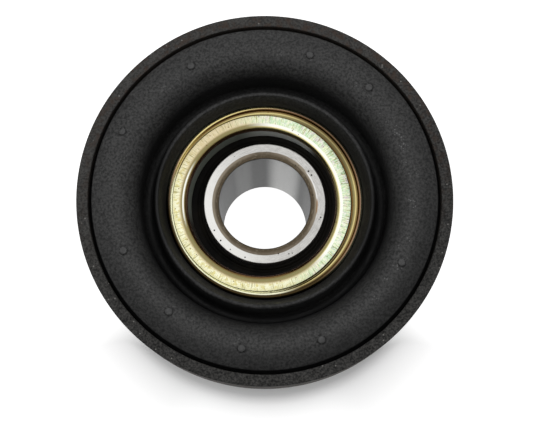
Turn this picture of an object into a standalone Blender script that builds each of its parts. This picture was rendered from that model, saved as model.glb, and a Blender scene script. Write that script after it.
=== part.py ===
"""Driveshaft centre bearing: a long-race ball bearing in a zinc-passivated shell, held by a
moulded rubber cushion inside a plain steel band.

Metres, +Z up. The bearing axis is the Z axis, the front faces +Z, and the origin is on the axis
at the rear end of the inner race, which the part stands on.
"""

from math import cos, pi, radians, sin, sqrt

import bmesh
import bpy
from mathutils import Matrix, Vector

MM = 0.001

# Clearances
FIT_GAP = 0.3 * MM  # between pieces that touch or are bonded in the real part
ROLL_GAP = 0.15 * MM  # between a ball and its raceways
POCKET_GAP = 0.25 * MM  # between a ball and its cage pocket
RIVET_GAP = 0.15 * MM  # between a rivet and the cage

# Ball bearing
BORE_DIAMETER = 30.0 * MM
RACE_WALL = 5.0 * MM  # from the bore to the inner race's outer land
BALL_SPACE = 6.0 * MM  # radial gap between the lands of the two races
OUTER_RACE_WALL = 5.0 * MM
BALL_DIAMETER = 9.525 * MM
BALL_COUNT = 9
RACEWAY_CONFORMITY = 0.52  # raceway groove radius over ball diameter
SIDE_SPACE = 3.24 * MM  # from the side of a ball to the side face of the bearing
RACE_FRONT_REACH = 4.6 * MM  # inner race beyond the bearing's front face
RACE_REAR_REACH = 28.7 * MM  # inner race beyond the bearing's rear face
RACE_EDGE_BREAK = 0.4 * MM
BORE_BAND_WIDTH = 2.0 * MM  # shallow unground band round the bore on each end face
BORE_BAND_DEPTH = 0.35 * MM
BORE_EDGE_BREAK = 0.2 * MM
OUTER_RACE_CHAMFER = 0.8 * MM

# Seals
SEAL_GROOVE_DEPTH = 1.3 * MM  # radial depth of the groove in the outer race
SEAL_GROOVE_WIDTH = 1.4 * MM
SEAL_KEEPER_WIDTH = 0.7 * MM  # outer race land outside the groove
SEAL_KEEPER_HEIGHT = 0.4 * MM
SEAL_BODY = 0.9 * MM
SEAL_RIB_HEIGHT = 0.35 * MM
SEAL_LIP_WIDTH = 0.8 * MM

# Ribbon cage
CAGE_SHEET = 0.8 * MM
CAGE_WIDTH = 3.0 * MM  # radial width of the ribbon
RIVET_SHANK_DIAMETER = 1.2 * MM
RIVET_HEAD_DIAMETER = 2.4 * MM
RIVET_HEAD_HEIGHT = 0.5 * MM

# Shell
SHELL_SHEET = 0.8 * MM
SHELL_REAR_LIP = 3.6 * MM  # how far the rear flange turns in over the outer race
SHELL_BEND = 1.2 * MM
MOUTH_ROLL_IN = 0.65 * MM  # how far the rolled mouth reaches in over the cover
MOUTH_CROWN = 1.1 * MM  # rise of the roll above the cover's shoulder
MOUTH_CREST_INSET = 0.32 * MM  # from the roll's inner edge to its crest
MOUTH_FALL = 1.3 * MM  # from the crest down to the sleeve's straight wall

# Front cover
COVER_SHEET = 0.9 * MM
COVER_SKIRT_HEIGHT = 6.45 * MM
COVER_SHOULDER_RISE = 0.3 * MM
COVER_SHOULDER_WIDTH = 1.25 * MM  # mean width of the flat shoulder next to the roll
COVER_SHOULDER_DRIFT = 0.45  # how far the shoulder's inner edge follows the dome off centre
COVER_FLANGE_WIDTH = 1.9 * MM  # mean width of the flange between skirt and dome
COVER_DOME_HEIGHT = 2.5 * MM
COVER_DOME_FALL = 0.9 * MM  # from the crest down to the dome's outer edge
COVER_CREST_INSET = 1.7 * MM  # from the lip's wall to the crest
COVER_LIP_RADIUS_GAP = 4.0 * MM  # open ring between the race and the lip
COVER_LIP_STANDOFF = 0.5 * MM  # lip's lower edge above the skirt's
COVER_LIP_TAPER = 0.3 * MM
COVER_DOME_OFFSET = (-1.0 * MM, -0.45 * MM)  # the dome is drawn off centre
COVER_LIP_OFFSET = (-0.5 * MM, -0.15 * MM)

# Rubber cushion
COLLAR_WALL = 3.1 * MM  # from the shell to the outer flank of the front collar
COLLAR_RISE = 4.5 * MM  # collar crest above the shell's mouth
COLLAR_MOUTH_DROP = 0.4 * MM  # foot of the collar's inner slope below the shell's mouth
COLLAR_CREST_ROUND = 0.7 * MM
COLLAR_FOOT_BREAK = 0.4 * MM
VALLEY_WIDTH = 4.6 * MM
VALLEY_DRAFT = 0.4 * MM  # how far each flank leans in over the valley's depth
VALLEY_DEPTH = 12.0 * MM  # below the collar crest
CROWN_RADIUS = 7.8 * MM  # roll of the front crown
CROWN_RISE = 2.6 * MM  # crown above the band's front face
CROWN_TO_EDGE = 7.24 * MM
EDGE_FALL = 2.4 * MM  # from the crown down to the front corner
EDGE_ROUND = 0.5 * MM
EDGE_RELIEF = 0.85 * MM  # dark gap inside the band at the front
EDGE_RELIEF_DEPTH = 3.0 * MM
CUSHION_SKIN = 4.8 * MM
CUSHION_REAR_INSET = 1.0 * MM
COLLAR_REAR_WALL = 4.0 * MM  # rubber sleeve round the shell behind the web
COLLAR_REAR_INSET = 2.5 * MM  # shell left bare at the rear
WEB_FILLET = 1.2 * MM  # from the web's underside down to the sleeve
PIP_DIAMETER = 2.6 * MM
PIP_HEIGHT = 0.6 * MM
PIP_ROOT = 1.0 * MM
# Unevenly spaced, as the mould left them: degrees counter-clockwise from +X, and how far outside
# the crown's circle each one stands.
PIP_PLACES = (
    (-26.7, 0.1 * MM),
    (-68.9, 1.15 * MM),
    (-98.4, 1.0 * MM),
    (-128.9, -0.4 * MM),
    (-158.1, -0.1 * MM),
    (-204.4, 2.05 * MM),
    (-240.6, 0.5 * MM),
    (-287.6, 0.2 * MM),
    (-313.6, 0.5 * MM),
)

# Outer band
BAND_WALL = 3.74 * MM
BAND_WIDTH = 20.0 * MM
BAND_FRONT_REACH = 16.8 * MM  # band's front face ahead of the bearing's front face
BAND_CHAMFER = 0.35 * MM

# Facets round each turned piece
BAND_SIDES = 64
CUSHION_SIDES = 48
SHELL_SIDES = 48
RACE_SIDES = 44
SEALED_SIDES = 36
PIP_SIDES = 7
RIVET_SIDES = 6
BALL_SIDES = 10
BALL_RINGS = 7
ROLL_STEPS = 4
RACEWAY_STEPS = 5
CROWN_STEPS = 4
VALLEY_STEPS = 4
POCKET_STEPS = 6

# Radii worked out from the bore outwards
BORE_RADIUS = BORE_DIAMETER / 2
BALL_RADIUS = BALL_DIAMETER / 2
RACE_RADIUS = BORE_RADIUS + RACE_WALL
OUTER_LAND_RADIUS = RACE_RADIUS + BALL_SPACE
PITCH_RADIUS = RACE_RADIUS + BALL_SPACE / 2
OUTER_RACE_RADIUS = OUTER_LAND_RADIUS + OUTER_RACE_WALL
SHELL_BORE_RADIUS = OUTER_RACE_RADIUS + FIT_GAP
SHELL_RADIUS = SHELL_BORE_RADIUS + SHELL_SHEET
COVER_RADIUS = SHELL_BORE_RADIUS - FIT_GAP
COVER_LIP_RADIUS = RACE_RADIUS + COVER_LIP_RADIUS_GAP
CUSHION_BORE_RADIUS = SHELL_RADIUS + FIT_GAP
COLLAR_RADIUS = CUSHION_BORE_RADIUS + COLLAR_WALL
VALLEY_RADIUS = COLLAR_RADIUS + VALLEY_WIDTH
CROWN_CENTRE_RADIUS = VALLEY_RADIUS + CROWN_RADIUS
EDGE_RADIUS = CROWN_CENTRE_RADIUS + CROWN_TO_EDGE
CUSHION_RADIUS = EDGE_RADIUS + EDGE_RELIEF
BAND_BORE_RADIUS = CUSHION_RADIUS + FIT_GAP
BAND_RADIUS = BAND_BORE_RADIUS + BAND_WALL

# Heights worked out from the rear end of the inner race
BEARING_WIDTH = BALL_DIAMETER + 2 * SIDE_SPACE
BEARING_REAR_Z = RACE_REAR_REACH
BEARING_FRONT_Z = BEARING_REAR_Z + BEARING_WIDTH
BALL_PLANE_Z = BEARING_REAR_Z + BEARING_WIDTH / 2
RACE_FRONT_Z = BEARING_FRONT_Z + RACE_FRONT_REACH
COVER_FLOOR_Z = BEARING_FRONT_Z + FIT_GAP
COVER_FLANGE_Z = COVER_FLOOR_Z + COVER_SKIRT_HEIGHT
COVER_CREST_Z = COVER_FLANGE_Z + COVER_DOME_HEIGHT
MOUTH_Z = COVER_FLANGE_Z + COVER_SHOULDER_RISE + MOUTH_CROWN
SHELL_REAR_Z = BEARING_REAR_Z - FIT_GAP - SHELL_SHEET
COLLAR_CREST_Z = MOUTH_Z + COLLAR_RISE
BAND_FRONT_Z = BEARING_FRONT_Z + BAND_FRONT_REACH
BAND_REAR_Z = BAND_FRONT_Z - BAND_WIDTH
CROWN_Z = BAND_FRONT_Z + CROWN_RISE

# Finishes: colour, metallic, roughness
STEEL_BLACKENED = ("band_steel", (0.035, 0.033, 0.031), 0.6, 0.7)
RUBBER = ("rubber", (0.018, 0.018, 0.02), 0.0, 0.55)
ZINC = ("zinc_passivated", (0.72, 0.66, 0.42), 1.0, 0.25)
STEEL_GROUND = ("ground_steel", (0.66, 0.65, 0.62), 1.0, 0.28)
STEEL_BALL = ("ball_steel", (0.75, 0.75, 0.76), 1.0, 0.08)
STEEL_SHEET = ("cage_steel", (0.5, 0.5, 0.5), 1.0, 0.35)
SEAL_RUBBER = ("seal_rubber", (0.012, 0.012, 0.013), 0.0, 0.45)


def clear_scene():
    for scene_object in list(bpy.data.objects):
        bpy.data.objects.remove(scene_object, do_unlink=True)


def material_for(finish):
    name, colour, metallic, roughness = finish
    found = bpy.data.materials.get(name)
    if found:
        return found
    material = bpy.data.materials.new(name)
    material.use_nodes = True
    shader = material.node_tree.nodes["Principled BSDF"]
    shader.inputs["Base Color"].default_value = (*colour, 1.0)
    shader.inputs["Metallic"].default_value = metallic
    shader.inputs["Roughness"].default_value = roughness
    return material


def add_object(name, mesh, finish, location=(0.0, 0.0, 0.0), parent=None):
    """Places a mesh in the scene as one named piece, shaded smooth with its real edges sharp."""
    if finish:
        mesh.materials.clear()
        mesh.materials.append(material_for(finish))
    mesh.shade_smooth()
    mesh.set_sharp_from_angle(angle=radians(32))
    piece = bpy.data.objects.new(name, mesh)
    piece.location = location
    piece.parent = parent
    bpy.context.scene.collection.objects.link(piece)
    return piece


def add_empty(name, location):
    empty = bpy.data.objects.new(name, None)
    empty.location = location
    empty.empty_display_size = 0.01
    bpy.context.scene.collection.objects.link(empty)
    return empty


def ring_mesh(name, profile, sides, offsets=None):
    """Turns a closed profile of (radius, height) points, listed clockwise as seen with the
    radius to the right and the height up, about the Z axis. An offset (x, y) for each point
    sets a ring of the mesh off centre."""
    work = bmesh.new()
    rings = []
    for index, (radius, height) in enumerate(profile):
        shift_x, shift_y = offsets[index] if offsets else (0.0, 0.0)
        ring = []
        for side in range(sides):
            turn = 2 * pi * side / sides
            place = (shift_x + radius * cos(turn), shift_y + radius * sin(turn), height)
            ring.append(work.verts.new(place))
        rings.append(ring)
    for index, ring in enumerate(rings):
        following = rings[(index + 1) % len(rings)]
        for side in range(sides):
            after = (side + 1) % sides
            work.faces.new((ring[side], following[side], following[after], ring[after]))
    mesh = bpy.data.meshes.new(name)
    work.to_mesh(mesh)
    work.free()
    return mesh


def arc(centre, radius, start_deg, end_deg, steps):
    """Points along a circular arc in the (radius, height) plane, both ends included."""
    points = []
    for step in range(steps + 1):
        turn = radians(start_deg + (end_deg - start_deg) * step / steps)
        points.append((centre[0] + radius * cos(turn), centre[1] + radius * sin(turn)))
    return points


def raceway(bottom_radius, land_radius):
    """The groove of a raceway from its front edge to its rear edge."""
    groove = RACEWAY_CONFORMITY * BALL_DIAMETER
    outward = 1 if bottom_radius > land_radius else -1
    centre = (bottom_radius - outward * groove, BALL_PLANE_Z)
    rise = abs(land_radius - centre[0])
    half_width = sqrt(groove**2 - rise**2)
    points = []
    for step in range(RACEWAY_STEPS + 1):
        height = half_width * cos(pi * step / RACEWAY_STEPS)
        points.append((centre[0] + outward * sqrt(groove**2 - height**2), centre[1] + height))
    return points


def inner_race_profile():
    band = BORE_RADIUS + BORE_EDGE_BREAK
    front = [
        (BORE_RADIUS, RACE_FRONT_Z - BORE_BAND_DEPTH - BORE_EDGE_BREAK),
        (band, RACE_FRONT_Z - BORE_BAND_DEPTH),
        (band + BORE_BAND_WIDTH, RACE_FRONT_Z),
        (RACE_RADIUS - RACE_EDGE_BREAK, RACE_FRONT_Z),
        (RACE_RADIUS, RACE_FRONT_Z - RACE_EDGE_BREAK),
    ]
    rear = [(radius, RACE_FRONT_Z - height) for radius, height in reversed(front)]
    bottom = PITCH_RADIUS - BALL_RADIUS - ROLL_GAP
    return front + raceway(bottom, RACE_RADIUS) + rear


def outer_race_profile():
    chamfer = OUTER_RACE_CHAMFER
    groove_radius = OUTER_LAND_RADIUS + SEAL_GROOVE_DEPTH
    keeper_radius = groove_radius - SEAL_KEEPER_HEIGHT
    keeper_z = BEARING_FRONT_Z - SEAL_KEEPER_WIDTH
    groove_z = keeper_z - SEAL_GROOVE_WIDTH
    front_seat = [
        (OUTER_LAND_RADIUS, groove_z),
        (groove_radius, groove_z),
        (groove_radius, keeper_z),
        (keeper_radius, keeper_z),
        (keeper_radius, BEARING_FRONT_Z),
    ]
    middle = 2 * BALL_PLANE_Z
    rear_seat = [(radius, middle - height) for radius, height in reversed(front_seat)]
    outside = [
        (OUTER_RACE_RADIUS - chamfer, BEARING_FRONT_Z),
        (OUTER_RACE_RADIUS, BEARING_FRONT_Z - chamfer),
        (OUTER_RACE_RADIUS, BEARING_REAR_Z + chamfer),
        (OUTER_RACE_RADIUS - chamfer, BEARING_REAR_Z),
    ]
    bottom = PITCH_RADIUS + BALL_RADIUS + ROLL_GAP
    groove = list(reversed(raceway(bottom, OUTER_LAND_RADIUS)))
    return outside + rear_seat + groove + front_seat


def seal_profile():
    """Front seal: a bead in the outer race's groove, a ribbed face and a lip near the race."""
    groove_radius = OUTER_LAND_RADIUS + SEAL_GROOVE_DEPTH
    bead = groove_radius - FIT_GAP
    neck = groove_radius - SEAL_KEEPER_HEIGHT - FIT_GAP
    keeper_z = BEARING_FRONT_Z - SEAL_KEEPER_WIDTH
    bead_top = keeper_z - FIT_GAP
    bead_bottom = keeper_z - SEAL_GROOVE_WIDTH + FIT_GAP
    face = bead_bottom + SEAL_BODY + SEAL_RIB_HEIGHT
    lip = RACE_RADIUS + FIT_GAP
    rib = lip + 2 * SEAL_LIP_WIDTH
    return [
        (lip, bead_bottom),
        (lip, face),
        (lip + SEAL_LIP_WIDTH, face - SEAL_RIB_HEIGHT),
        (rib, face + SEAL_RIB_HEIGHT),
        (rib + SEAL_LIP_WIDTH, face),
        (neck, face),
        (neck, bead_top),
        (bead, bead_top),
        (bead, bead_bottom),
    ]


def shell_profile():
    """Drawn sleeve: flange turned in at the rear, mouth rolled in over the cover's shoulder. The
    roll falls from its narrow crest to the straight wall in a quarter of an ellipse."""
    shoulder = COVER_FLANGE_Z + COVER_SHOULDER_RISE
    roll_floor = shoulder + FIT_GAP
    roll_edge = SHELL_BORE_RADIUS - MOUTH_ROLL_IN
    crest = roll_edge + MOUTH_CREST_INSET
    rear_lip = SHELL_BORE_RADIUS - SHELL_REAR_LIP
    rear_floor = SHELL_REAR_Z + SHELL_SHEET
    roll = []
    for step in range(ROLL_STEPS + 1):
        turn = pi / 2 * step / ROLL_STEPS
        roll.append((crest + (SHELL_RADIUS - crest) * sin(turn), MOUTH_Z - MOUTH_FALL * (1 - cos(turn))))
    return [
        (roll_edge, roll_floor),
        (roll_edge, MOUTH_Z - 0.5 * MOUTH_CREST_INSET),
        *roll,
        *arc((SHELL_RADIUS - SHELL_BEND, SHELL_REAR_Z + SHELL_BEND), SHELL_BEND, 0, -90, 2),
        (rear_lip, SHELL_REAR_Z),
        (rear_lip, rear_floor),
        (SHELL_BORE_RADIUS, rear_floor),
        (SHELL_BORE_RADIUS, roll_floor - 0.3 * SHELL_SHEET),
    ]


def cover_profile():
    """(radius, height, centre) rings of the pressed cover. The skirt is true to the shell and
    the dome off centre, so its flange is wide on one side and almost gone on the other."""
    true = (0.0, 0.0)
    sheet = COVER_SHEET
    dome = COVER_DOME_OFFSET
    lip = COVER_LIP_OFFSET
    shoulder = COVER_FLANGE_Z + COVER_SHOULDER_RISE
    drift = (COVER_SHOULDER_DRIFT * dome[0], COVER_SHOULDER_DRIFT * dome[1])
    foot = COVER_RADIUS - COVER_FLANGE_WIDTH
    edge_z = COVER_CREST_Z - COVER_DOME_FALL
    crest = COVER_LIP_RADIUS + COVER_CREST_INSET
    lip_floor = COVER_FLOOR_Z + COVER_LIP_STANDOFF
    lip_foot = COVER_LIP_RADIUS - COVER_LIP_TAPER
    return [
        (lip_foot, lip_floor, lip),
        (COVER_LIP_RADIUS, COVER_CREST_Z - 1.3 * sheet, dome),
        (COVER_LIP_RADIUS + 0.35 * COVER_CREST_INSET, COVER_CREST_Z - 0.35 * sheet, dome),
        (crest, COVER_CREST_Z, dome),
        (crest + 0.45 * (foot - crest), COVER_CREST_Z - 0.3 * COVER_DOME_FALL, dome),
        (foot - 0.25 * sheet, edge_z + 0.2 * sheet, dome),
        (foot, edge_z - 0.15 * sheet, dome),
        (foot, COVER_FLANGE_Z, dome),
        (COVER_RADIUS - COVER_SHOULDER_WIDTH, shoulder, drift),
        (COVER_RADIUS - 0.4 * sheet, shoulder - 0.1 * sheet, true),
        (COVER_RADIUS, shoulder - 0.6 * sheet, true),
        (COVER_RADIUS, COVER_FLOOR_Z, true),
        (COVER_RADIUS - sheet, COVER_FLOOR_Z, true),
        (COVER_RADIUS - sheet, COVER_FLANGE_Z - 1.1 * sheet, true),
        (foot - sheet, COVER_FLANGE_Z - 1.1 * sheet, dome),
        (foot - sheet, edge_z - 1.0 * sheet, dome),
        (crest, COVER_CREST_Z - sheet, dome),
        (COVER_LIP_RADIUS + sheet, COVER_CREST_Z - 1.8 * sheet, dome),
        (lip_foot + sheet, lip_floor, lip),
    ]


def cushion_profile():
    """Section of the moulding: collar round the shell, U-shaped front valley, rolled crown and
    outer wall. Behind, an open channel follows the crown and the web at an even thickness, and
    a plain sleeve goes on along the shell."""
    crest = (COLLAR_RADIUS - COLLAR_CREST_ROUND, COLLAR_CREST_Z - COLLAR_CREST_ROUND)
    crown = (CROWN_CENTRE_RADIUS, CROWN_Z - CROWN_RADIUS)
    valley_round = VALLEY_WIDTH / 2 - VALLEY_DRAFT
    valley = (VALLEY_RADIUS - valley_round, COLLAR_CREST_Z - VALLEY_DEPTH + valley_round)
    roof_round = CROWN_RADIUS - CUSHION_SKIN
    web_round = valley_round + CUSHION_SKIN
    edge_z = CROWN_Z - EDGE_FALL
    relief_z = edge_z - EDGE_RELIEF_DEPTH
    rear_z = BAND_REAR_Z + CUSHION_REAR_INSET
    collar_rear_z = SHELL_REAR_Z + COLLAR_REAR_INSET
    sleeve = CUSHION_BORE_RADIUS + COLLAR_REAR_WALL
    slope_foot = MOUTH_Z - COLLAR_MOUTH_DROP
    collar = [
        (CUSHION_BORE_RADIUS, slope_foot - COLLAR_FOOT_BREAK),
        (CUSHION_BORE_RADIUS + COLLAR_FOOT_BREAK, slope_foot),
        *arc(crest, COLLAR_CREST_ROUND, 130, 0, 2),
    ]
    edge = [
        (EDGE_RADIUS - 0.5 * CROWN_TO_EDGE, CROWN_Z - 0.25 * EDGE_FALL),
        (EDGE_RADIUS - EDGE_ROUND, edge_z + 0.8 * EDGE_ROUND),
        (EDGE_RADIUS, edge_z),
        (EDGE_RADIUS, relief_z),
        (CUSHION_RADIUS, relief_z - EDGE_RELIEF),
        (CUSHION_RADIUS, rear_z),
        (crown[0] + roof_round, rear_z),
    ]
    collar_rear = [
        (sleeve, valley[1] - web_round - WEB_FILLET),
        (sleeve, collar_rear_z),
        (CUSHION_BORE_RADIUS, collar_rear_z),
    ]
    return [
        *collar,
        *arc(valley, valley_round, 180, 360, VALLEY_STEPS),
        *arc(crown, CROWN_RADIUS, 180, 90, CROWN_STEPS),
        *edge,
        *arc(crown, roof_round, 0, 180, VALLEY_STEPS),
        *arc(valley, web_round, 0, -80, 2),
        *collar_rear,
    ]


def band_profile():
    chamfer = BAND_CHAMFER
    return [
        (BAND_BORE_RADIUS, BAND_FRONT_Z - chamfer),
        (BAND_BORE_RADIUS + chamfer, BAND_FRONT_Z),
        (BAND_RADIUS - chamfer, BAND_FRONT_Z),
        (BAND_RADIUS, BAND_FRONT_Z - chamfer),
        (BAND_RADIUS, BAND_REAR_Z + chamfer),
        (BAND_RADIUS - chamfer, BAND_REAR_Z),
        (BAND_BORE_RADIUS + chamfer, BAND_REAR_Z),
        (BAND_BORE_RADIUS, BAND_REAR_Z + chamfer),
    ]


def mirrored(profile):
    """The same section seen from the other side of the ball plane."""
    return [(radius, 2 * BALL_PLANE_Z - height) for radius, height in reversed(profile)]


def pip_peg(angle_deg, outside_crown):
    """A short tapered peg near the crown, to be joined to the cushion."""
    work = bmesh.new()
    bmesh.ops.create_cone(
        work,
        cap_ends=True,
        segments=PIP_SIDES,
        radius1=PIP_DIAMETER / 2,
        radius2=PIP_DIAMETER / 2 - PIP_HEIGHT / 2,
        depth=PIP_ROOT + PIP_HEIGHT,
    )
    turn = radians(angle_deg)
    radius = CROWN_CENTRE_RADIUS + outside_crown
    place = (radius * cos(turn), radius * sin(turn), CROWN_Z + (PIP_HEIGHT - PIP_ROOT) / 2)
    bmesh.ops.transform(work, matrix=Matrix.Translation(place), verts=work.verts)
    mesh = bpy.data.meshes.new("pip")
    work.to_mesh(mesh)
    work.free()
    return mesh


def hide_helper(helper):
    helper.hide_render = True
    helper.display_type = "WIRE"


def build_cushion():
    cushion = add_object(
        "rubber_cushion",
        ring_mesh("rubber_cushion", cushion_profile(), CUSHION_SIDES),
        RUBBER,
    )
    for number, (angle, outside_crown) in enumerate(PIP_PLACES, 1):
        pip = add_object(f"pip_helper_{number}", pip_peg(angle, outside_crown), None)
        hide_helper(pip)
        join = cushion.modifiers.new(f"pip_{number}", "BOOLEAN")
        join.operation = "UNION"
        join.solver = "EXACT"
        join.object = pip
    return cushion


def ribbon_section(pitch_share):
    """(arc offset, height) of the inner and outer sheet faces at one station of a pocket."""
    inner = BALL_RADIUS + POCKET_GAP
    outer = inner + CAGE_SHEET
    land = RIVET_GAP
    turn = pi * (1 - pitch_share)
    near = (inner * cos(turn), max(inner * sin(turn), land))
    far_height = max(outer * sin(turn), land + CAGE_SHEET)
    return near, (outer * cos(turn), far_height)


def cage_mesh(name, side):
    """One half of the ribbon cage: a sheet wave that cups every ball and lies flat between
    them. side is 1 for the front half and -1 for the rear half."""
    work = bmesh.new()
    sections = []
    for ball in range(BALL_COUNT):
        middle = 2 * pi * ball / BALL_COUNT
        for station in range(POCKET_STEPS + 1):
            near, far = ribbon_section(station / POCKET_STEPS)
            section = []
            for offset, height in (near, far):
                turn = middle + offset / PITCH_RADIUS
                for radius in (PITCH_RADIUS - CAGE_WIDTH / 2, PITCH_RADIUS + CAGE_WIDTH / 2):
                    section.append(work.verts.new((radius * cos(turn), radius * sin(turn), side * height)))
            near_in, near_out, far_in, far_out = section
            sections.append((near_in, near_out, far_out, far_in))
    for index, section in enumerate(sections):
        following = sections[(index + 1) % len(sections)]
        for corner in range(4):
            after = (corner + 1) % 4
            work.faces.new((section[corner], section[after], following[after], following[corner]))
    bmesh.ops.recalc_face_normals(work, faces=work.faces)
    mesh = bpy.data.meshes.new(name)
    work.to_mesh(mesh)
    work.free()
    return mesh


def rivet_places():
    """Points midway between the balls, on the pitch circle."""
    for rivet in range(BALL_COUNT):
        turn = 2 * pi * (rivet + 0.5) / BALL_COUNT
        yield Vector((PITCH_RADIUS * cos(turn), PITCH_RADIUS * sin(turn), 0.0))


def rivet_hole_mesh():
    """One mesh that holds the pegs for all the rivet holes."""
    work = bmesh.new()
    radius = RIVET_SHANK_DIAMETER / 2 + RIVET_GAP
    for place in rivet_places():
        bmesh.ops.create_cone(
            work,
            cap_ends=True,
            segments=RIVET_SIDES,
            radius1=radius,
            radius2=radius,
            depth=6 * CAGE_SHEET,
            matrix=Matrix.Translation(place),
        )
    mesh = bpy.data.meshes.new("rivet_holes")
    work.to_mesh(mesh)
    work.free()
    return mesh


def rivet_mesh():
    """Shank with a flat head at each end of the two cage sheets."""
    shank = RIVET_SHANK_DIAMETER / 2
    head = RIVET_HEAD_DIAMETER / 2
    seat = 2 * RIVET_GAP + CAGE_SHEET
    top = seat + RIVET_HEAD_HEIGHT
    outline = [(head, top), (head, seat), (shank, seat), (shank, -seat), (head, -seat), (head, -top)]
    work = bmesh.new()
    rings = []
    for radius, height in outline:
        ring = []
        for side in range(RIVET_SIDES):
            turn = 2 * pi * side / RIVET_SIDES
            ring.append(work.verts.new((radius * cos(turn), radius * sin(turn), height)))
        rings.append(ring)
    for upper, lower in zip(rings, rings[1:]):
        for side in range(RIVET_SIDES):
            after = (side + 1) % RIVET_SIDES
            work.faces.new((upper[side], lower[side], lower[after], upper[after]))
    work.faces.new(rings[0])
    work.faces.new(list(reversed(rings[-1])))
    mesh = bpy.data.meshes.new("rivet")
    work.to_mesh(mesh)
    work.free()
    return mesh


def ball_mesh():
    work = bmesh.new()
    bmesh.ops.create_uvsphere(work, u_segments=BALL_SIDES, v_segments=BALL_RINGS, radius=BALL_RADIUS)
    mesh = bpy.data.meshes.new("ball")
    work.to_mesh(mesh)
    work.free()
    return mesh


def build_cage_and_balls():
    cage_axis = add_empty("cage_axis", (0.0, 0.0, BALL_PLANE_Z))
    holes = add_object("rivet_hole_helper", rivet_hole_mesh(), None, parent=cage_axis)
    hide_helper(holes)
    for name, side in (("cage_front", 1), ("cage_rear", -1)):
        half = add_object(name, cage_mesh(name, side), STEEL_SHEET, parent=cage_axis)
        cut = half.modifiers.new("rivet_holes", "BOOLEAN")
        cut.operation = "DIFFERENCE"
        cut.solver = "EXACT"
        cut.object = holes
    rivet = rivet_mesh()
    for number, place in enumerate(rivet_places(), 1):
        add_object(f"rivet_{number}", rivet, STEEL_SHEET, place, cage_axis)
    ball = ball_mesh()
    for number in range(BALL_COUNT):
        turn = 2 * pi * number / BALL_COUNT
        place = (PITCH_RADIUS * cos(turn), PITCH_RADIUS * sin(turn), 0.0)
        add_object(f"ball_{number + 1}", ball, STEEL_BALL, place, cage_axis)


def build_housing():
    """Everything that stays still with the band."""
    turned = (
        ("outer_ring", band_profile(), BAND_SIDES, STEEL_BLACKENED),
        ("bearing_shell", shell_profile(), SHELL_SIDES, ZINC),
        ("outer_race", outer_race_profile(), SEALED_SIDES, STEEL_GROUND),
        ("front_seal", seal_profile(), SEALED_SIDES, SEAL_RUBBER),
        ("rear_seal", mirrored(seal_profile()), SEALED_SIDES, SEAL_RUBBER),
    )
    for name, profile, sides, finish in turned:
        add_object(name, ring_mesh(name, profile, sides), finish)
    rings = cover_profile()
    outline = [(radius, height) for radius, height, _ in rings]
    centres = [centre for _, _, centre in rings]
    add_object("front_cover", ring_mesh("front_cover", outline, SHELL_SIDES, centres), ZINC)
    build_cushion()


def build_inner_race():
    add_object("inner_race", ring_mesh("inner_race", inner_race_profile(), RACE_SIDES), STEEL_GROUND)


def main():
    clear_scene()
    build_housing()
    build_inner_race()
    build_cage_and_balls()


main()
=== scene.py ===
"""Looks of a round driveshaft centre bearing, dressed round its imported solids.

Metres, +Z up, in the frame of the solids: the bearing axis is Z, the front faces +Z and the rear
end of the inner race stands on z = 0. Every visible solid is stood for by a finely turned piece
of the same section, and the pieces sealed inside keep their solids with finishes of their own.
The finishes count radii and heights in millimetres.
"""

import logging
from collections.abc import Sequence
from dataclasses import dataclass
from enum import Enum
from math import cos, pi, radians, sin, tan

import bpy
import numpy as np
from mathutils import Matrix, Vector, noise


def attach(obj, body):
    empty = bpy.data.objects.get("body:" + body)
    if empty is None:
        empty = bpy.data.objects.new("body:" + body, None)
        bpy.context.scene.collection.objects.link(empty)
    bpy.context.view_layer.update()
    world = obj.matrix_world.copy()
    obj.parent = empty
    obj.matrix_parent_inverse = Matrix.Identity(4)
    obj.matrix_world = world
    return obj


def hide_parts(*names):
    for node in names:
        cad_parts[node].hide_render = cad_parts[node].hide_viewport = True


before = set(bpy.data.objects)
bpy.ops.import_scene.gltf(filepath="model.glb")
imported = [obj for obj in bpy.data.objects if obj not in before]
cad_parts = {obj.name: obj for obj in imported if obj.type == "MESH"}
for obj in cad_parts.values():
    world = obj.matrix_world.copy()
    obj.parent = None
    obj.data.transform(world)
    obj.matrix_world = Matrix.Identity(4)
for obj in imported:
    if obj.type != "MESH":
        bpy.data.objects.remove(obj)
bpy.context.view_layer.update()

MM = 0.001
PHOTO_WIDTH = 533
LOG = logging.getLogger("centre_bearing")

Colour = tuple[float, float, float]
Place = tuple[float, float, float]
Shift = tuple[float, float]
Stop = tuple[float, Colour]
Socket = bpy.types.NodeSocket
Source = Socket | float | tuple[float, ...]
Sources = dict[str | int, Source]

AXIS: Place = (0.0, 0.0, 0.0)


class Body(Enum):
    """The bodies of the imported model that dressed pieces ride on."""

    HOUSING = "housing"
    RACE = "inner_race"


class Slot(Enum):
    """The material slots that dressed pieces carry."""

    BAND = "band_steel"
    RUBBER = "rubber"
    ZINC = "zinc_passivated"
    SEAL = "seal_rubber"
    GROUND = "ground_steel"


class Calc(Enum):
    """Sums that a shader can do on one or two values."""

    ADD = "ADD"
    SUBTRACT = "SUBTRACT"
    MULTIPLY = "MULTIPLY"
    DIVIDE = "DIVIDE"
    LARGER = "MAXIMUM"
    BELOW = "LESS_THAN"
    SIZE = "ABSOLUTE"


class Kind(Enum):
    """What a group's socket carries."""

    NUMBER = "NodeSocketFloat"
    VECTOR = "NodeSocketVector"
    COLOUR = "NodeSocketColor"


class SealSide(Enum):
    """Which side of the ball bearing a seal closes."""

    FRONT = 1
    REAR = -1


# Shader building


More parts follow.
